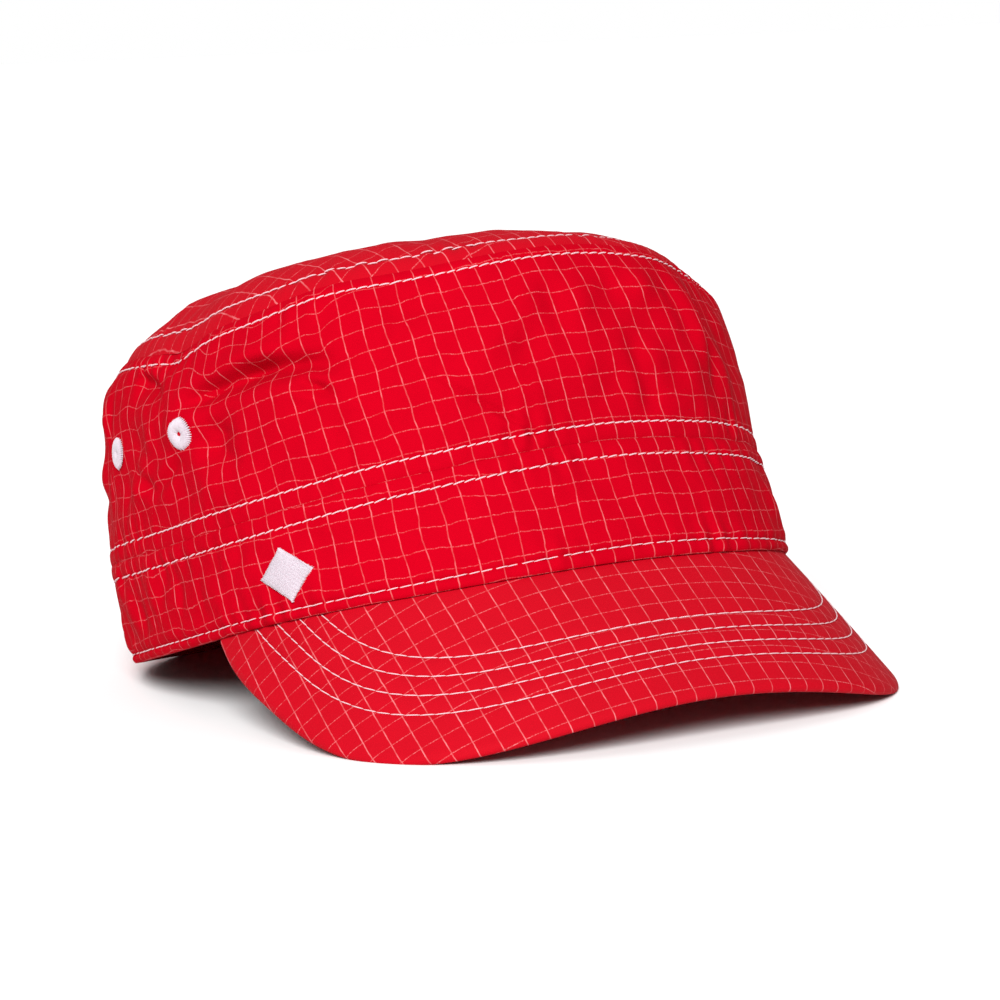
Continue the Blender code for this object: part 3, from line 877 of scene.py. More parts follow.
def rest_shift():
    """How far the tilted cap moves to its place, read from the top panel's solid."""
    angle = np.arange(SOLID_COLUMNS) * 360.0 / SOLID_COLUMNS
    rows = [plain(top_cloth)(angle, np.full(SOLID_COLUMNS, row[0])) for row in TOP_FORM]
    skin = tilted(np.concatenate(rows))
    low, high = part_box("crown_top")
    x = (low.x + high.x) / 2.0 - (skin[:, 0].min() + skin[:, 0].max()) / 2.0
    y = (low.y + high.y) / 2.0 - (skin[:, 1].min() + skin[:, 1].max()) / 2.0
    return np.array([x, y, high.z - skin[:, 2].max()])


def rested(points):
    """Points of the level cap brought to where it rests, its hem pressed on the surface."""
    placed = tilted(points) + rest_shift()
    placed[..., 2] = np.maximum(placed[..., 2], 0.0)
    return placed


def linked(name, data):
    """An object of this name and data, linked into the scene."""
    piece = bpy.data.objects.new(name, data)
    bpy.context.scene.collection.objects.link(piece)
    return piece


def applied(piece):
    """A new mesh, which is the object's own with its modifiers applied."""
    bpy.context.view_layer.update()
    graph = bpy.context.evaluated_depsgraph_get()
    return bpy.data.meshes.new_from_object(piece.evaluated_get(graph))


def corners_volume(points, faces):
    """Signed volume of quads or triangles, to tell which way they face."""
    first = points[faces[:, 0]]
    volume = 0.0
    for k in range(1, faces.shape[1] - 1):
        across = np.cross(points[faces[:, k]], points[faces[:, k + 1]])
        volume += np.einsum("ij,ij->i", first, across).sum()
    return volume


def cloth_object(name, points, parts, material):
    """One closed piece of cloth; each part is its faces and their weave coordinates."""
    points = rested(points)
    inward = sum(corners_volume(points, faces) for faces, _ in parts) < 0.0
    way = -1 if inward else 1
    mesh = bpy.data.meshes.new(name)
    face_lists = [face for faces, _ in parts for face in faces[:, ::way].tolist()]
    mesh.from_pydata(points.tolist(), [], face_lists)
    weave = np.concatenate([places[:, ::way].reshape(-1, 2) for _, places in parts])
    layer = mesh.uv_layers.new(name="weave")
    layer.data.foreach_set("uv", weave.astype(np.float32).ravel())
    mesh.update()
    mesh.shade_smooth()
    mesh.materials.append(material)
    return linked(name, mesh)


def ring_parts(loops, places, closed):
    """Quads between loops that go round the cap, with their weave coordinates."""
    count = len(loops[0])
    column = np.arange(count)
    following = (column + 1) % count
    faces = []
    corners = []
    for k in range(len(loops) if closed else len(loops) - 1):
        after = (k + 1) % len(loops)
        here = k * count
        above = after * count
        quad = (here + column, here + following, above + following, above + column)
        faces.append(np.stack(quad, axis=1))
        low = places[k]
        high = places[after]
        corners.append(np.stack((low[:-1], low[1:], high[1:], high[:-1]), axis=1))
    return np.concatenate(faces), np.concatenate(corners)


def columns():
    """Angles round the cap, from the middle of the back."""
    count = bpy.context.scene.cap_cloth.columns
    return -180.0 + np.arange(count) * 360.0 / count


def spread_rows(height, wide):
    """Shares up a wall, close together near both its edges and wider between them."""
    samples = 400
    fade = EDGE_REACH * 0.7
    at = np.linspace(0.0, height, samples)
    edge = np.minimum(at, height - at)
    spacing = CLOSE_ROWS + (wide - CLOSE_ROWS) * eased((edge - EDGE_REACH) / fade)
    steps = np.concatenate([[0.0], np.cumsum(np.diff(at) / spacing[1:])])
    count = int(round(steps[-1])) + 1
    rows = np.interp(np.linspace(0.0, steps[-1], count), steps, at)
    corner = CLOSE_ROWS / 9.0
    return np.concatenate([rows[:1], [corner], rows[1:-1], [height - corner], rows[-1:]]) / height


def inner_loops(face, shares, angle, thick):
    """The inner face's loops, from the top down, a cloth's thickness inside the outer."""
    grid = np.stack([plain(face)(angle, np.full(len(angle), share)) for share in shares])
    round_way = np.roll(grid, -1, axis=1) - np.roll(grid, 1, axis=1)
    up_way = np.gradient(grid, axis=0)
    up_way[[0, -1]] = (0.0, 0.0, 1.0)
    return list(grid - unit(np.cross(up_way, round_way)) * thick)[::-1]


def weave_place(angle, across, height, lean):
    """Weave coordinates on a wall, whose grid leans and is pulled about more at the sides."""
    least = 0.00024
    more = 0.00028
    pull = least + more * at_sides(angle, 40.0)
    aside = crumpled(angle, height, seed=15) * pull
    along = crumpled(angle, height, seed=16) * pull
    return np.stack([across - lean * height + aside, height + along], axis=1)


def wall_piece(name, face, height, thick, material, lean):
    """A wall of cloth, its outer face in full relief and its inner face plain."""
    inner_rows = 15
    angle = columns()
    around = np.append(angle, 180.0)
    inner_shares = np.linspace(0.0, 1.0, inner_rows)
    outer = [face(angle, np.full(len(angle), share)) for share in spread_rows(height, WALL_ROWS)]
    loops = outer + inner_loops(face, inner_shares, angle, thick)
    climbs = np.linalg.norm(np.diff(np.stack(outer), axis=0), axis=-1)
    climb = np.concatenate([np.zeros((1, len(angle))), np.cumsum(climbs, axis=0)])
    climb = np.concatenate([climb, climb[:, :1]], axis=1)
    heights = list(climb) + [climb[-1] * share for share in inner_shares[::-1]]
    across = arc(around)
    places = [weave_place(around, across, row, lean) for row in heights]
    parts = ring_parts(loops, places, closed=True)
    return cloth_object(name, np.concatenate(loops), [parts], material)


# Finishes


def give(tree, socket, value):
    """Gives an input a plain value, or links another node's output to it."""
    if isinstance(value, bpy.types.NodeSocket):
        tree.links.new(value, socket)
    else:
        socket.default_value = value


def add_node(tree, kind, inputs=None, **options):
    """Adds a node with its options and named inputs set; gives its first output in use."""
    node = tree.nodes.new(kind)
    for name, value in options.items():
        setattr(node, name, value)
    for name, value in (inputs or {}).items():
        give(tree, next(s for s in node.inputs if name in (s.identifier, s.name)), value)
    return next(s for s in node.outputs if s.enabled)


def calculate(tree, operation, *values):
    """One Math node, which shader and geometry trees share; gives its output."""
    node = tree.nodes.new("ShaderNodeMath")
    node.operation = operation
    for socket, value in zip(node.inputs, values):
        give(tree, socket, value)
    return node.outputs[0]


def new_material(name):
    """A material with its node tree and its shader's inputs."""
    material = bpy.data.materials.new(name)
    material.use_nodes = True
    tree = material.node_tree
    return material, tree, tree.nodes["Principled BSDF"].inputs


def noise(tree, place, scale, detail=2.0, roughness=0.5):
    """A noise texture's value at a place."""
    inputs = {"Vector": place, "Scale": scale, "Detail": detail, "Roughness": roughness}
    return add_node(tree, "ShaderNodeTexNoise", inputs)


def ramp(tree, value, low, high, least=0.0, most=1.0):
    """The least at one value and the most at another, smooth between."""
    inputs = {"Value": value, "From Min": low, "From Max": high, "To Min": least, "To Max": most}
    return add_node(tree, "ShaderNodeMapRange", inputs, interpolation_type="SMOOTHSTEP")


def mixed(tree, factor, first, second):
    """Two colours mixed."""
    inputs = {"Factor_Float": factor, "A_Color": first, "B_Color": second}
    return add_node(tree, "ShaderNodeMix", inputs, data_type="RGBA")


def bump(tree, strength, distance, height):
    """A normal from a height."""
    inputs = {"Strength": strength, "Distance": distance, "Height": height}
    return add_node(tree, "ShaderNodeBump", inputs)


def map_parts(tree, name):
    """A UV map's place, and its two parts."""
    place = add_node(tree, "ShaderNodeUVMap", uv_map=name)
    parts = add_node(tree, "ShaderNodeSeparateXYZ", {"Vector": place}).node.outputs
    return place, parts["X"], parts["Y"]


def grid_line(tree, place, pitch, width, wander):
    """1 on the lines of a grid and 0 between them, with soft edges."""
    moved = calculate(tree, "ADD", place, wander)
    distance = calculate(tree, "PINGPONG", moved, pitch / 2.0)
    return ramp(tree, distance, width * 0.28, width * 0.72, least=1.0, most=0.0)


def wandering(tree, place, sway_size):
    """How far the grid's lines stray, slowly along the cloth and in a quick shiver."""
    maths = functools.partial(calculate, tree)
    shiver_size = 0.00022
    slow = noise(tree, place, 90.0, 3.0, 0.55)
    quick = noise(tree, place, 900.0)
    sway = maths("MULTIPLY", maths("SUBTRACT", slow, 0.5), sway_size)
    shiver = maths("MULTIPLY", maths("SUBTRACT", quick, 0.5), shiver_size)
    return maths("ADD", sway, shiver)


def pale_lines(tree, place, across, along, sway_size, show):
    """How much of the grid's pale thread shows: worn on one way, in specks on the other."""
    weave = bpy.context.scene.cap_weave
    maths = functools.partial(calculate, tree)
    wander = wandering(tree, place, sway_size)
    strong = grid_line(tree, across, weave.pitch, weave.line, wander)
    weak = grid_line(tree, along, weave.pitch, weave.cross_line, wander)
    wear = noise(tree, place, 260.0)
    fleck = noise(tree, place, 2300.0, 1.0)
    strong_seen = maths("MULTIPLY", strong, ramp(tree, wear, 0.34, 0.72, least=0.17, most=0.65))
    specks = ramp(tree, fleck, 0.42, 0.60, least=0.10, most=0.52)
    fading = ramp(tree, wear, 0.70, 0.36, least=0.40, most=1.00)
    weak_seen = maths("MULTIPLY", weak, maths("MULTIPLY", specks, fading))
    return maths("MULTIPLY", maths("MAXIMUM", strong_seen, weak_seen), show)


def ripstop_material(name):
    """Red ripstop: a fine plain weave with a grid of pale threads, read from the weave map."""
    weave = bpy.context.scene.cap_weave
    shine, sway_size, show = RIPSTOPS[name]
    material, tree, shader = new_material(name)
    maths = functools.partial(calculate, tree)
    place, across, along = map_parts(tree, "weave")
    lines = pale_lines(tree, place, across, along, sway_size, show)

    count = 2.0 * math.pi / weave.thread
    warp = maths("SINE", maths("MULTIPLY", across, count))
    weft = maths("SINE", maths("MULTIPLY", along, count))
    threads = maths("MULTIPLY", warp, weft)
    mottle = noise(tree, place, 2600.0)
    patchy = noise(tree, place, 60.0, 3.0)
    # Painted shade and random tone: the weave's crossings darken the red towards the deep red as if
    # their hollows lay in shade, and the mottle and patchy noises add random tone.
    weave_shade_and_mottle = maths("MULTIPLY_ADD", threads, 0.18, -0.04)
    weave_shade_and_mottle = maths("MULTIPLY_ADD", mottle, 0.55, weave_shade_and_mottle)
    weave_shade_and_mottle = maths("MULTIPLY_ADD", patchy, 0.45, weave_shade_and_mottle)

    # The red mixed here carries the painted shade of the weave's hollows as well as the cloth's
    # random mottling.
    red = mixed(tree, ramp(tree, weave_shade_and_mottle, 0.0, 1.0), (*weave.red_deep, 1.0), (*weave.red, 1.0))
    give(tree, shader["Base Color"], mixed(tree, lines, red, (*weave.line_colour, 1.0)))
    give(tree, shader["Roughness"], maths("MULTIPLY_ADD", mottle, 0.16, 0.68))
    shader["Specular IOR Level"].default_value = shine
    shader["Sheen Weight"].default_value = 0.008
    shader["Sheen Roughness"].default_value = 0.40
    shader["Sheen Tint"].default_value = (1.0, 0.55, 0.55, 1.0)

    raised = maths("MULTIPLY_ADD", lines, 0.8, maths("MULTIPLY", threads, 0.35))
    raised = maths("MULTIPLY_ADD", mottle, 0.5, raised)
    give(tree, shader["Normal"], bump(tree, 0.35, 0.00012, raised))
    return material


def thread_material(name, white, plies_show):
    """White thread, its plies showing as strongly as this, made when it is first asked for."""
    if name in bpy.data.materials:
        return bpy.data.materials[name]
    material, tree, shader = new_material(name)
    maths = functools.partial(calculate, tree)
    _, around, along = map_parts(tree, "thread")
    turned = maths("MULTIPLY_ADD", along, 2.0, around)
    plies = maths("SINE", maths("MULTIPLY", turned, 2.0 * math.pi))
    where = tree.nodes.new("ShaderNodeTexCoord").outputs["Object"]
    fuzz = noise(tree, where, 3200.0)
    shaded = tuple(part * share for part, share in zip(white, (0.80, 0.66, 0.70)))
    pale_share = ramp(tree, maths("MULTIPLY_ADD", plies, plies_show, fuzz), 0.15, 0.60)
    give(tree, shader["Base Color"], mixed(tree, pale_share, (*shaded, 1.0), (*white, 1.0)))
    shader["Roughness"].default_value = 0.55
    shader["Sheen Weight"].default_value = 0.2
    height = maths("MULTIPLY_ADD", plies, plies_show * 3.0, fuzz)
    give(tree, shader["Normal"], bump(tree, 0.5, 0.00008, height))
    return material


# Geometry Nodes


def new_tree(name, **inputs):
    """A geometry tree with these inputs; gives it, what it is given and its end."""
    tree = bpy.data.node_groups.new(name, "GeometryNodeTree")
    tree.interface.new_socket("Geometry", in_out="INPUT", socket_type="NodeSocketGeometry")
    tree.interface.new_socket("Geometry", in_out="OUTPUT", socket_type="NodeSocketGeometry")
    for label, kind in inputs.items():
        tree.interface.new_socket(label, in_out="INPUT", socket_type="NodeSocket" + kind)
    given = tree.nodes.new("NodeGroupInput").outputs
    return tree, given, tree.nodes.new("NodeGroupOutput")


def shared_tree(name, maker):
    """The node tree of this name, made the first time it is asked for."""
    return bpy.data.node_groups.get(name) or maker()


def point_at(tree, x, y, z):
    """A vector from three values."""
    return add_node(tree, "ShaderNodeCombineXYZ", {"X": x, "Y": y, "Z": z})


def random_between(tree, low, high, seed):
    """A random value for each point or instance."""
    inputs = {"Min_001": low, "Max_001": high, "Seed": seed}
    return add_node(tree, "FunctionNodeRandomValue", inputs, data_type="FLOAT")


def stored(tree, geometry, name, value, **options):
    """The geometry with a value stored on it under a name."""
    inputs = {"Geometry": geometry, "Name": name, "Value": value}
    return add_node(tree, "GeometryNodeStoreNamedAttribute", inputs, **options)


def stored_value(tree, name, kind="FLOAT"):
    """A value that was stored under a name."""
    return add_node(tree, "GeometryNodeInputNamedAttribute", {"Name": name}, data_type=kind)


def bow(tree, half, start, middle, end, points):
    """A line bowed from minus a half length to plus it along X, drawn to these heights."""
    back = calculate(tree, "MULTIPLY", half, -1.0)
    return add_node(tree, "GeometryNodeCurveQuadraticBezier", {
        "Resolution": points, "Start": point_at(tree, back, 0.0, start),
        "Middle": point_at(tree, 0.0, 0.0, middle), "End": point_at(tree, half, 0.0, end)})


def circle(tree, points, radius):
    """A round curve."""
    inputs = {"Resolution": points, "Radius": radius}
    return add_node(tree, "GeometryNodeCurvePrimitiveCircle", inputs)


def thread_along(tree, curve, thickness, sides, taper):
    """A thread of even thickness along a curve, its ends rounded in, with its own map."""
    maths = functools.partial(calculate, tree)
    factor = add_node(tree, "GeometryNodeSplineParameter")
    off_middle = maths("ABSOLUTE", maths("MULTIPLY_ADD", factor, 2.0, -1.0))
    shrink = maths("MULTIPLY", maths("POWER", off_middle, taper), 0.75)
    profile = circle(tree, sides, maths("DIVIDE", thickness, 2.0))
    tube = add_node(tree, "GeometryNodeCurveToMesh", {
        "Curve": stored(tree, curve, "along", factor),
        "Profile Curve": stored(tree, profile, "around", factor),
        "Scale": maths("SUBTRACT", 1.0, shrink), "Fill Caps": True})
    stretched = maths("MULTIPLY", stored_value(tree, "along"), 3.0)
    place = point_at(tree, stored_value(tree, "around"), stretched, 0.0)
    return stored(tree, tube, "thread", place, data_type="FLOAT2", domain="CORNER")


def turned_to(tree, up, along):
    """A rotation whose Z is one direction and whose X leans to another."""
    return add_node(
        tree, "FunctionNodeAxesToRotation", {"Primary Axis": up, "Secondary Axis": along},
        primary_axis="Z", secondary_axis="X")


def laid(tree, points, thread, stretch, **turned):
    """The thread laid at each point, stretched along its length."""
    return add_node(tree, "GeometryNodeInstanceOnPoints", {
        "Points": points, "Instance": thread, "Scale": point_at(tree, stretch, 1.0, 1.0),
        **turned})


def resized(tree, geometry, x, y):
    """A geometry made wider and taller by these factors."""
    inputs = {"Geometry": geometry, "Scale": point_at(tree, x, y, 1.0)}
    return add_node(tree, "GeometryNodeTransform", inputs)


def joined(tree, *parts):
    """These geometries as one."""
    node = tree.nodes.new("GeometryNodeJoinGeometry")
    for part in parts:
        tree.links.new(part, node.inputs[0])
    return node.outputs[0]


def finish_tree(tree, end, geometry, material):
    """Makes the instances real, gives them their material and ends the tree."""
    real = add_node(tree, "GeometryNodeRealizeInstances", {"Geometry": geometry})
    inputs = {"Geometry": real, "Material": material}
    tree.links.new(add_node(tree, "GeometryNodeSetMaterial", inputs), end.inputs[0])
    return tree


def stitch_tree():
    """Stitches laid end to end along a guide line, standing on its outward direction."""
    tree, given, end = new_tree(
        "stitch_row", Pitch="Float", Length="Float", Thickness="Float", Rise="Float",
        Dip="Float", Slant="Float", Seed="Int", Material="Material")
    maths = functools.partial(calculate, tree)
    line = add_node(tree, "GeometryNodeMeshToCurve", {"Mesh": given["Geometry"]})
    inputs = {"Curve": line, "Length": given["Pitch"]}
    places = add_node(tree, "GeometryNodeResampleCurve", inputs, mode="LENGTH")
    sunk = maths("MULTIPLY", given["Dip"], -1.0)
    half = maths("DIVIDE", given["Length"], 2.0)
    crest = maths("MULTIPLY", given["Rise"], 2.2)
    curve = bow(tree, half, sunk, crest, sunk, points=6)
    thread = thread_along(tree, curve, given["Thickness"], sides=7, taper=5.0)
    tangent = add_node(tree, "GeometryNodeInputTangent")
    stand = turned_to(tree, stored_value(tree, "outward", "FLOAT_VECTOR"), tangent)
    uneven_share = random_between(tree, -0.35, 0.35, given["Seed"])
    lean = maths("MULTIPLY", given["Slant"], maths("ADD", uneven_share, 1.0))
    inputs = {"Euler": point_at(tree, 0.0, 0.0, lean)}
    inputs = {"Rotation": stand, "Rotate By": add_node(tree, "FunctionNodeEulerToRotation", inputs)}
    rotation = add_node(tree, "FunctionNodeRotateRotation", inputs, rotation_space="LOCAL")
    stretch = random_between(tree, 0.95, 1.06, maths("ADD", given["Seed"], 1.0))
    threads = laid(tree, places, thread, stretch, Rotation=rotation)
    return finish_tree(tree, end, threads, given["Material"])


def satin_ring_tree():
    """Satin threads side by side round a small hole, each bowed from the hole to the rim."""
    tree, given, end = new_tree(
        "satin_ring", Threads="Int", Bore="Float", Radius="Float", Thickness="Float",
        Rise="Float", Seed="Int", Material="Material")
    maths = functools.partial(calculate, tree)
    middle = maths("DIVIDE", maths("ADD", given["Bore"], given["Radius"]), 2.0)
    half = maths("DIVIDE", maths("SUBTRACT", given["Radius"], given["Bore"]), 2.0)
    ring = add_node(
        tree, "GeometryNodeMeshCircle", {"Vertices": given["Threads"], "Radius": middle})
    inner_height = maths("MULTIPLY", given["Rise"], -0.35)
    outer_height = maths("MULTIPLY", given["Thickness"], 0.1)
    crest = maths("MULTIPLY", given["Rise"], 1.7)
    curve = bow(tree, half, inner_height, crest, outer_height, points=7)
    thread = thread_along(tree, curve, given["Thickness"], sides=6, taper=5.0)
    stand = turned_to(tree, (0.0, 0.0, 1.0), add_node(tree, "GeometryNodeInputPosition"))
    stretch = random_between(tree, 0.92, 1.07, given["Seed"])
    threads = laid(tree, ring, thread, stretch, Rotation=stand)
    core_form = circle(tree, 10, maths("MULTIPLY", half, 0.80))
    flat = maths("DIVIDE", given["Rise"], maths("MULTIPLY", half, 3.0))
    core = add_node(tree, "GeometryNodeCurveToMesh", {
        "Curve": circle(tree, 40, middle), "Profile Curve": resized(tree, core_form, 1.0, flat)})
    return finish_tree(tree, end, joined(tree, threads, core), given["Material"])


def satin_lozenge_tree():
    """Satin threads side by side, each bowed from one edge of a lozenge to the other."""
    tree, given, end = new_tree(
        "satin_lozenge", Width="Float", Height="Float", Spacing="Float", Thickness="Float",
        Rise="Float", Seed="Int", Material="Material")
    maths = functools.partial(calculate, tree)
    half_height = maths("DIVIDE", given["Height"], 2.0)
    half_width = maths("DIVIDE", given["Width"], 2.0)
    foot = maths("MULTIPLY", half_height, -1.0)
    line = add_node(tree, "GeometryNodeMeshLine", {
        "Count": maths("DIVIDE", given["Height"], given["Spacing"]),
        "Start Location": point_at(tree, 0.0, foot, 0.0),
        "Offset": point_at(tree, 0.0, given["Spacing"], 0.0)}, mode="OFFSET")
    rim = maths("MULTIPLY", given["Thickness"], 0.2)
    crest = maths("MULTIPLY", given["Rise"], 1.7)
    curve = bow(tree, 1.0, rim, crest, rim, points=14)
    thread = thread_along(tree, curve, given["Thickness"], sides=6, taper=12.0)
    place = add_node(tree, "GeometryNodeInputPosition")
    height = add_node(tree, "ShaderNodeSeparateXYZ", {"Vector": place}).node.outputs["Y"]
    share = maths("DIVIDE", maths("ABSOLUTE", height), half_height)
    reach = maths("MAXIMUM", maths("SUBTRACT", 1.0, share), 0.03)
    uneven_share = random_between(tree, 0.97, 1.03, given["Seed"])
    length = maths("MULTIPLY", maths("MULTIPLY", reach, half_width), uneven_share)
    threads = laid(tree, line, thread, length)
    plate = add_node(tree, "GeometryNodeMeshCylinder", {
        "Vertices": 4, "Radius": 0.97, "Depth": maths("MULTIPLY", given["Rise"], 0.7)})
    core = resized(tree, plate, half_width, half_height)
    return finish_tree(tree, end, joined(tree, threads, core), given["Material"])


def grown(name, start_mesh, tree, values):
    """A plain mesh object from a tree run on a starting mesh, with these named inputs."""
    guide = linked(name + "_guide", start_mesh)
    modifier = guide.modifiers.new("grow", "NODES")
    modifier.node_group = tree
    for item in tree.interface.items_tree:
        if item.in_out == "INPUT" and item.name in values:
            modifier[item.identifier] = values[item.name]
    guide.update_tag()
    mesh = applied(guide)
    if not mesh.polygons:
        raise RuntimeError(name + " came out empty")
    mesh.name = name
    for attribute in ("along", "around"):
        if attribute in mesh.attributes:
            mesh.attributes.remove(mesh.attributes[attribute])
    mesh.shade_smooth()
    bpy.data.objects.remove(guide, do_unlink=True)
    return linked(name, mesh)


def guide_mesh(name, lines, closed):
    """Guide lines as edges; each line is its points and their outward directions."""
    edges = []
    first = 0
    for places, _ in lines:
        last = first + len(places) - 1
        edges.extend((i, i + 1) for i in range(first, last))
        if closed:
            edges.append((last, first))
        first = last + 1
    mesh = bpy.data.meshes.new(name)
    mesh.from_pydata(np.concatenate([places for places, _ in lines]).tolist(), edges, [])
    layer = mesh.attributes.new("outward", "FLOAT_VECTOR", "POINT")
    ways = np.concatenate([outwards for _, outwards in lines])
    layer.data.foreach_set("vector", ways.astype(np.float32).ravel())
    return mesh


def face_normals(face, angle, share):
    """Points and outward normals of a wall's face."""
    turn_step = 0.25
    step = 0.004
    round_way = face(angle + turn_step, share) - face(angle - turn_step, share)
    up_way = face(angle, share + step) - face(angle, share - step)
    return face(angle, share), unit(np.cross(up_way, round_way))


def wall_line(face, angle, share, lift):
    """A guide line round a wall at these shares, lifted off the cloth."""
    normal = face_normals(plain(face), angle, share)[1]
    if face is top_cloth:
        normal = -normal
    return rested(face(angle, share) + normal * lift), tilted(normal)


def peak_line(inset, lift):
    """A guide line across the peak's upper face, inside its outline."""
    samples = 900
    end = peak_ends(inset, 0.0)
    x, y = peak_outline(np.linspace(-end, end, samples), inset)
    angle, beyond = beyond_edge(x, y)
    normal = peak_normal(angle, beyond)
    return rested(peak_surface(angle, beyond) + normal * lift), tilted(normal)


# Operators


def dress(piece, slot, *nodes):
    """Lets a finished piece ride on the cap, in place of these solids."""
    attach(piece, "root")
    if nodes:
        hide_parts(*nodes)


class CAP_OT_band(bpy.types.Operator):
    """Makes the band with its rolled hem."""
    bl_idname = "cap.band"
    bl_label = "Band"

    def execute(self, context):
        material = ripstop_material("ripstop_band")
        piece = wall_piece("band_wall", band_cloth, BAND_HEIGHT, BAND_CLOTH, material, lean=0.0)
        dress(piece, "ripstop_red", "band")
        return {"FINISHED"}


class CAP_OT_crown_side(bpy.types.Operator):
    """Makes the crown's side, with its folds, and pierces it behind the eyelets."""
    bl_idname = "cap.crown_side"
    bl_label = "Crown side"

    def execute(self, context):
        material = ripstop_material("ripstop_side")
        piece = wall_piece(
            "crown_wall", crown_cloth, CROWN_HEIGHT, CROWN_CLOTH, material, lean=CROWN_GRID_LEAN)
        pierce(piece)
        dress(piece, "ripstop_red", "crown_side")
        return {"FINISHED"}


def pierce(wall):
    """Cuts a small round hole through a wall behind each eyelet."""
    sides = 16
    depth = CROWN_CLOTH * 3.0
    radius = bpy.context.scene.cap_embroidery.bore * 1.5
    column = np.arange(sides)
    following = (column + 1) % sides
    turn = column[:, None] * 2.0 * math.pi / sides
    walls = np.stack([column, following, sides + following, sides + column], axis=1)
    points = []
    faces = []
    for k, at in enumerate(EYELETS.values()):
        place, normal = face_normals(plain(crown_cloth), np.array([at]), np.array([EYELET_HEIGHT]))
        side_way = unit(np.cross(normal, (0.0, 0.0, 1.0)))
        up_way = np.cross(side_way, normal)
        ring = place + (np.cos(turn) * side_way + np.sin(turn) * up_way) * radius
        points.append(rested(np.concatenate([ring - normal * depth, ring + normal * depth])))
        first = k * 2 * sides
        faces.extend((first + walls).tolist())
        faces.append((first + column[::-1]).tolist())
        faces.append((first + sides + column).tolist())
    mesh = bpy.data.meshes.new("piercing")
    mesh.from_pydata(np.concatenate(points).tolist(), [], faces)
    mesh.uv_layers.new(name="weave")
    cutter = linked("piercing", mesh)
    cut = wall.modifiers.new("pierce", "BOOLEAN")
    cut.operation = "DIFFERENCE"
    cut.solver = "EXACT"
    cut.object = cutter
    pierced = applied(wall)
    wall.modifiers.clear()
    wall.data = pierced
    bpy.data.objects.remove(cutter, do_unlink=True)


class CAP_OT_crown_top(bpy.types.Operator):
    """Makes the domed top panel."""
    bl_idname = "cap.crown_top"
    bl_label = "Top panel"

    def execute(self, context):
        innermost = 0.02
        coarse = np.linspace(0.28, innermost, 12)
        close = 1.0 - 0.985 * spread_rows(LID_WIDTH, LID_ROWS)
        outer_plan = np.concatenate([close[close > 0.3], coarse])
        inner_plan = np.linspace(1.0, innermost, 22)
        pulled_in = 0.3
        angle = columns()
        count = len(angle)
        outer = [top_cloth(angle, np.full(count, plan)) for plan in outer_plan]
        flat = np.stack([*outward(angle), np.zeros(count)], axis=-1) * TOP_CLOTH
        down = np.array([0.0, 0.0, TOP_CLOTH])
        inner = []
        for plan in inner_plan:
            row = plain(top_cloth)(angle, np.full(count, plan))
            inner.append(row - flat if plan == 1.0 else row - flat * pulled_in - down)
        loops = inner[::-1] + outer
        places = [np.concatenate([loop, loop[:1]])[:, :2] for loop in loops]
        middle = top_cloth(angle, np.zeros(count)).mean(axis=0)
        points = np.concatenate(loops + [middle[None], (middle - down)[None]])
        column = np.arange(count)
        following = (column + 1) % count
        last = (len(loops) - 1) * count
        top_index = np.full(count, len(points) - 2)
        caps = np.concatenate([
            np.stack([last + column, last + following, top_index], axis=1),
            np.stack([following, column, top_index + 1], axis=1)])
        parts = [ring_parts(loops, places, closed=False), (caps, points[caps][..., :2])]
        piece = cloth_object("top_panel", points, parts, ripstop_material("ripstop_top"))
        dress(piece, "ripstop_red", "crown_top")
        return {"FINISHED"}


class CAP_OT_peak(bpy.types.Operator):
    """Makes the peak: a thin curved board wrapped in cloth."""
    bl_idname = "cap.peak"
    bl_label = "Peak"

    def execute(self, context):
        sections = 440
        crowding = 0.45
        part = np.linspace(-1.0, 1.0, sections)
        closer = (1.0 - crowding) * part + crowding * np.sin(part * math.pi / 2.0)
        x, y = peak_outline(peak_ends(0.0, PEAK_TIP) * closer)
        loops = peak_loops(*beyond_edge(x, y))
        points = np.stack(loops, axis=1).reshape(-1, 3)
        places = peak_unroll(loops)
        parts = [(faces, places[faces]) for faces in peak_faces(sections, len(loops))]
        piece = cloth_object("peak_board", points, parts, ripstop_material("ripstop_peak"))
        dress(piece, "ripstop_red", "peak")
        return {"FINISHED"}


def sew(name, lines, closed, **changes):
    """One piece of stitching along its guide lines, with the tree's inputs that differ."""
    stitch = bpy.context.scene.cap_stitch
    values = {
        "Pitch": stitch.pitch, "Length": stitch.length, "Thickness": stitch.thickness,
        "Rise": stitch.rise, "Dip": stitch.dip, "Slant": stitch.slant,
        "Material": thread_material("white_thread", stitch.white, STITCH_PLIES),
        **changes}
    tree = shared_tree("stitch_row", stitch_tree)
    dress(grown(name, guide_mesh(name, lines, closed), tree, values), "thread_white")


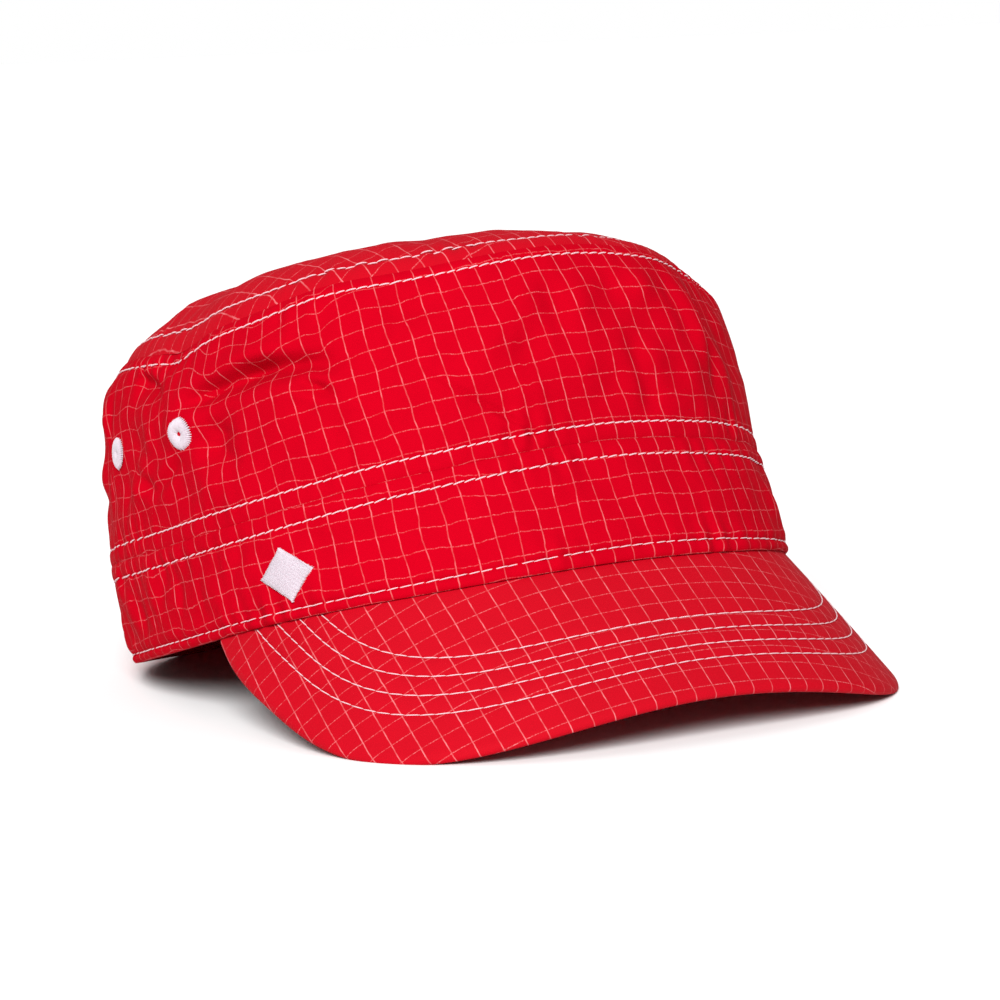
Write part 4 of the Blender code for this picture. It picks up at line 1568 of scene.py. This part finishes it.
class CAP_OT_stitching(bpy.types.Operator):
    """Sews the rows of white topstitching."""
    bl_idname = "cap.stitching"
    bl_label = "Topstitching"

    def execute(self, context):
        cloth = context.scene.cap_cloth
        stitch = context.scene.cap_stitch
        samples = 1440
        angle = -180.0 + np.arange(samples) * 360.0 / samples
        band = seam_height(angle) - edge_height(angle)
        side = top_height(angle) - seam_height(angle)
        x, y = oval("top", angle)
        lid = np.hypot(x, y - LID_CENTRE) - LID_PINCH
        on_wall = stitch.thickness * 0.35
        on_lid = stitch.thickness * 0.60
        rows = {
            "stitches_band": (band_cloth, 1.0 - cloth.seam_row / band, on_wall, {}),
            "stitches_crown": (crown_cloth, cloth.seam_row / side, on_wall, {}),
            "stitches_wall_top": (crown_cloth, 1.0 - cloth.wall_top_row / side, on_wall, {}),
            "stitches_lid": (top_cloth, 1.0 - cloth.lid_row / lid, on_lid, {}),
            "stitches_hem": (band_cloth, edge_row_height(cloth, angle) / band, on_wall, {
                "Pitch": stitch.hem_pitch, "Length": stitch.hem_pitch * 1.05,
                "Dip": stitch.dip * 0.7, "Thickness": stitch.thickness * 0.82,
                "Slant": math.radians(3.0)}),
        }
        for seed, (name, (face, share, lift, changes)) in enumerate(rows.items()):
            sew(name, [wall_line(face, angle, share, lift)], True, Seed=seed * 7, **changes)
        lift = stitch.peak_thickness * 0.40 - stitch.peak_channel * 0.85
        sew("stitches_peak", [peak_line(inset, lift) for inset in peak_rows()], False,
            Pitch=stitch.peak_pitch, Length=stitch.peak_pitch, Thickness=stitch.peak_thickness,
            Rise=stitch.rise * 0.3, Dip=stitch.dip * 0.12, Slant=math.radians(1.5), Seed=99)
        return {"FINISHED"}


def laid_on_wall(piece, face, at, share):
    """Lays a flat piece, made round the origin with +Z up, on a wall at one place."""
    here = np.array([at])
    level = np.array([share])
    half_degree = 0.5
    step = 0.02
    across = face(here + half_degree, level) - face(here - half_degree, level)
    up = (face(here, level + step) - face(here, level - step)) / (2.0 * step)
    points = np.empty(len(piece.data.vertices) * 3, dtype=np.float32)
    piece.data.vertices.foreach_get("co", points)
    points = points.reshape(-1, 3).astype(float)
    turn = at - points[:, 0] / np.linalg.norm(across)
    levels = share + points[:, 1] / np.linalg.norm(up)
    place, normal = face_normals(face, turn, levels)
    placed = rested(place + normal * points[:, 2:3])
    piece.data.vertices.foreach_set("co", placed.astype(np.float32).ravel())
    piece.data.update()


def embroider(name, node, tree, face, at, share, **values):
    """One satin-stitched piece, grown flat and laid on the cloth in place of its solid."""
    satin = bpy.context.scene.cap_embroidery
    values["Material"] = thread_material("white_satin", satin.white, SATIN_PLIES)
    piece = grown(name, bpy.data.meshes.new(name), tree, values)
    laid_on_wall(piece, plain(face), at, share)
    dress(piece, "thread_white", node)


class CAP_OT_eyelets(bpy.types.Operator):
    """Embroiders the satin-stitched vent eyelets."""
    bl_idname = "cap.eyelets"
    bl_label = "Eyelets"

    def execute(self, context):
        satin = context.scene.cap_embroidery
        tree = shared_tree("satin_ring", satin_ring_tree)
        for k, (node, at) in enumerate(EYELETS.items()):
            embroider(
                "satin_" + node, node, tree, crown_cloth, at, EYELET_HEIGHT,
                Threads=satin.threads, Bore=satin.bore, Radius=satin.radius,
                Thickness=satin.thread * 1.5, Rise=satin.rise, Seed=5 + k * 3)
        return {"FINISHED"}


class CAP_OT_lozenge(bpy.types.Operator):
    """Embroiders the plain lozenge on the band."""
    bl_idname = "cap.lozenge"
    bl_label = "Lozenge"

    def execute(self, context):
        satin = context.scene.cap_embroidery
        embroider(
            "satin_lozenge", "band_patch", shared_tree("satin_lozenge", satin_lozenge_tree),
            band_cloth, PATCH_ANGLE, PATCH_LEVEL, Width=satin.width, Height=satin.height,
            Spacing=satin.thread * 0.86, Thickness=satin.thread, Rise=satin.rise * 0.9, Seed=3)
        return {"FINISHED"}


def soft_light(name, strength, spread, azimuth, elevation):
    """A soft distant light, from an azimuth as seen from above and an elevation."""
    data = bpy.data.lights.new(name, "SUN")
    data.energy = strength
    data.angle = math.radians(spread)
    turn = math.radians(azimuth)
    rise = math.radians(elevation)
    level = math.cos(rise)
    way = Vector((math.sin(turn) * level, -math.cos(turn) * level, math.sin(rise)))
    light = linked(name, data)
    light.rotation_mode = "QUATERNION"
    light.rotation_quaternion = way.to_track_quat("Z", "Y")


def pale_floor(size, finish):
    """The floor, a wide pale square that isn't part of the cap."""
    mesh = bpy.data.meshes.new("floor")
    corners = [(-size, -size, 0.0), (size, -size, 0.0), (size, size, 0.0), (-size, size, 0.0)]
    mesh.from_pydata(corners, [], [(0, 1, 2, 3)])
    material, _, shader = new_material("pale_floor")
    shader["Base Color"].default_value = (*finish, 1.0)
    shader["Roughness"].default_value = 0.9
    mesh.materials.append(material)
    linked("floor", mesh)


def studio_world(ambient):
    """White all round for the camera, and a weaker light from all round for the cap."""
    world = bpy.data.worlds.new("studio")
    bpy.context.scene.world = world
    world.use_nodes = True
    tree = world.node_tree
    background = tree.nodes["Background"].inputs
    background["Color"].default_value = (1.0, 1.0, 1.0, 1.0)
    seen = tree.nodes.new("ShaderNodeLightPath").outputs["Is Camera Ray"]
    strength = calculate(tree, "MULTIPLY_ADD", seen, 1.0 - ambient, ambient)
    tree.links.new(strength, background["Strength"])


def photo_camera():
    """The camera at the photograph's viewing angle."""
    data = bpy.data.cameras.new("camera")
    data.lens = CAMERA_LENS
    data.sensor_width = 36.0
    camera = linked("camera", data)
    right = Vector(CAMERA_RIGHT)
    up = Vector(CAMERA_UP)
    axes = Matrix((right, up, right.cross(up))).transposed().to_4x4()
    camera.matrix_world = Matrix.Translation(CAMERA_PLACE) @ axes
    bpy.context.scene.camera = camera


class CAP_OT_stage(bpy.types.Operator):
    """Sets the pale floor, the soft light and the camera."""
    bl_idname = "cap.stage"
    bl_label = "Stage"

    def execute(self, context):
        stage = context.scene.cap_stage
        pale_floor(stage.floor, stage.floor_colour)
        studio_world(stage.ambient)
        soft_light("key", stage.key, spread=30.0, azimuth=-37.0, elevation=33.0)
        soft_light("fill", stage.fill, spread=90.0, azimuth=166.0, elevation=64.0)
        photo_camera()
        context.scene.view_settings.view_transform = "Standard"
        return {"FINISHED"}


class CAP_PT_panel(bpy.types.Panel):
    """Lists the cap's settings and what makes each group of pieces."""
    bl_idname = "CAP_PT_panel"
    bl_label = "Castro Cap"
    bl_space_type = "VIEW_3D"
    bl_region_type = "UI"
    bl_category = "Cap"

    def draw(self, context):
        layout = self.layout
        for operator in OPERATORS:
            layout.operator(operator.bl_idname)
        for name, group in GROUPS.items():
            box = layout.box()
            box.label(text=name.replace("cap_", "").title())
            for field in group.__annotations__:
                box.prop(getattr(context.scene, name), field)


GROUPS = {
    "cap_cloth": CapCloth,
    "cap_weave": CapWeave,
    "cap_stitch": CapStitch,
    "cap_embroidery": CapEmbroidery,
    "cap_stage": CapStage,
}

OPERATORS = (
    CAP_OT_stage,
    CAP_OT_band,
    CAP_OT_crown_side,
    CAP_OT_crown_top,
    CAP_OT_peak,
    CAP_OT_stitching,
    CAP_OT_eyelets,
    CAP_OT_lozenge,
)


def register():
    """Registers the settings, the operators and the panel."""
    for item in (*GROUPS.values(), *OPERATORS, CAP_PT_panel):
        bpy.utils.register_class(item)
    for name, group in GROUPS.items():
        setattr(bpy.types.Scene, name, PointerProperty(type=group))


def unregister():
    """Takes away what register added."""
    for name in GROUPS:
        delattr(bpy.types.Scene, name)
    for item in reversed((*GROUPS.values(), *OPERATORS, CAP_PT_panel)):
        bpy.utils.unregister_class(item)


def main():
    """Dresses the cap, piece by piece."""
    register()
    for operator in OPERATORS:
        group, name = operator.bl_idname.split(".")
        getattr(getattr(bpy.ops, group), name)()


if __name__ == "__main__":
    main()
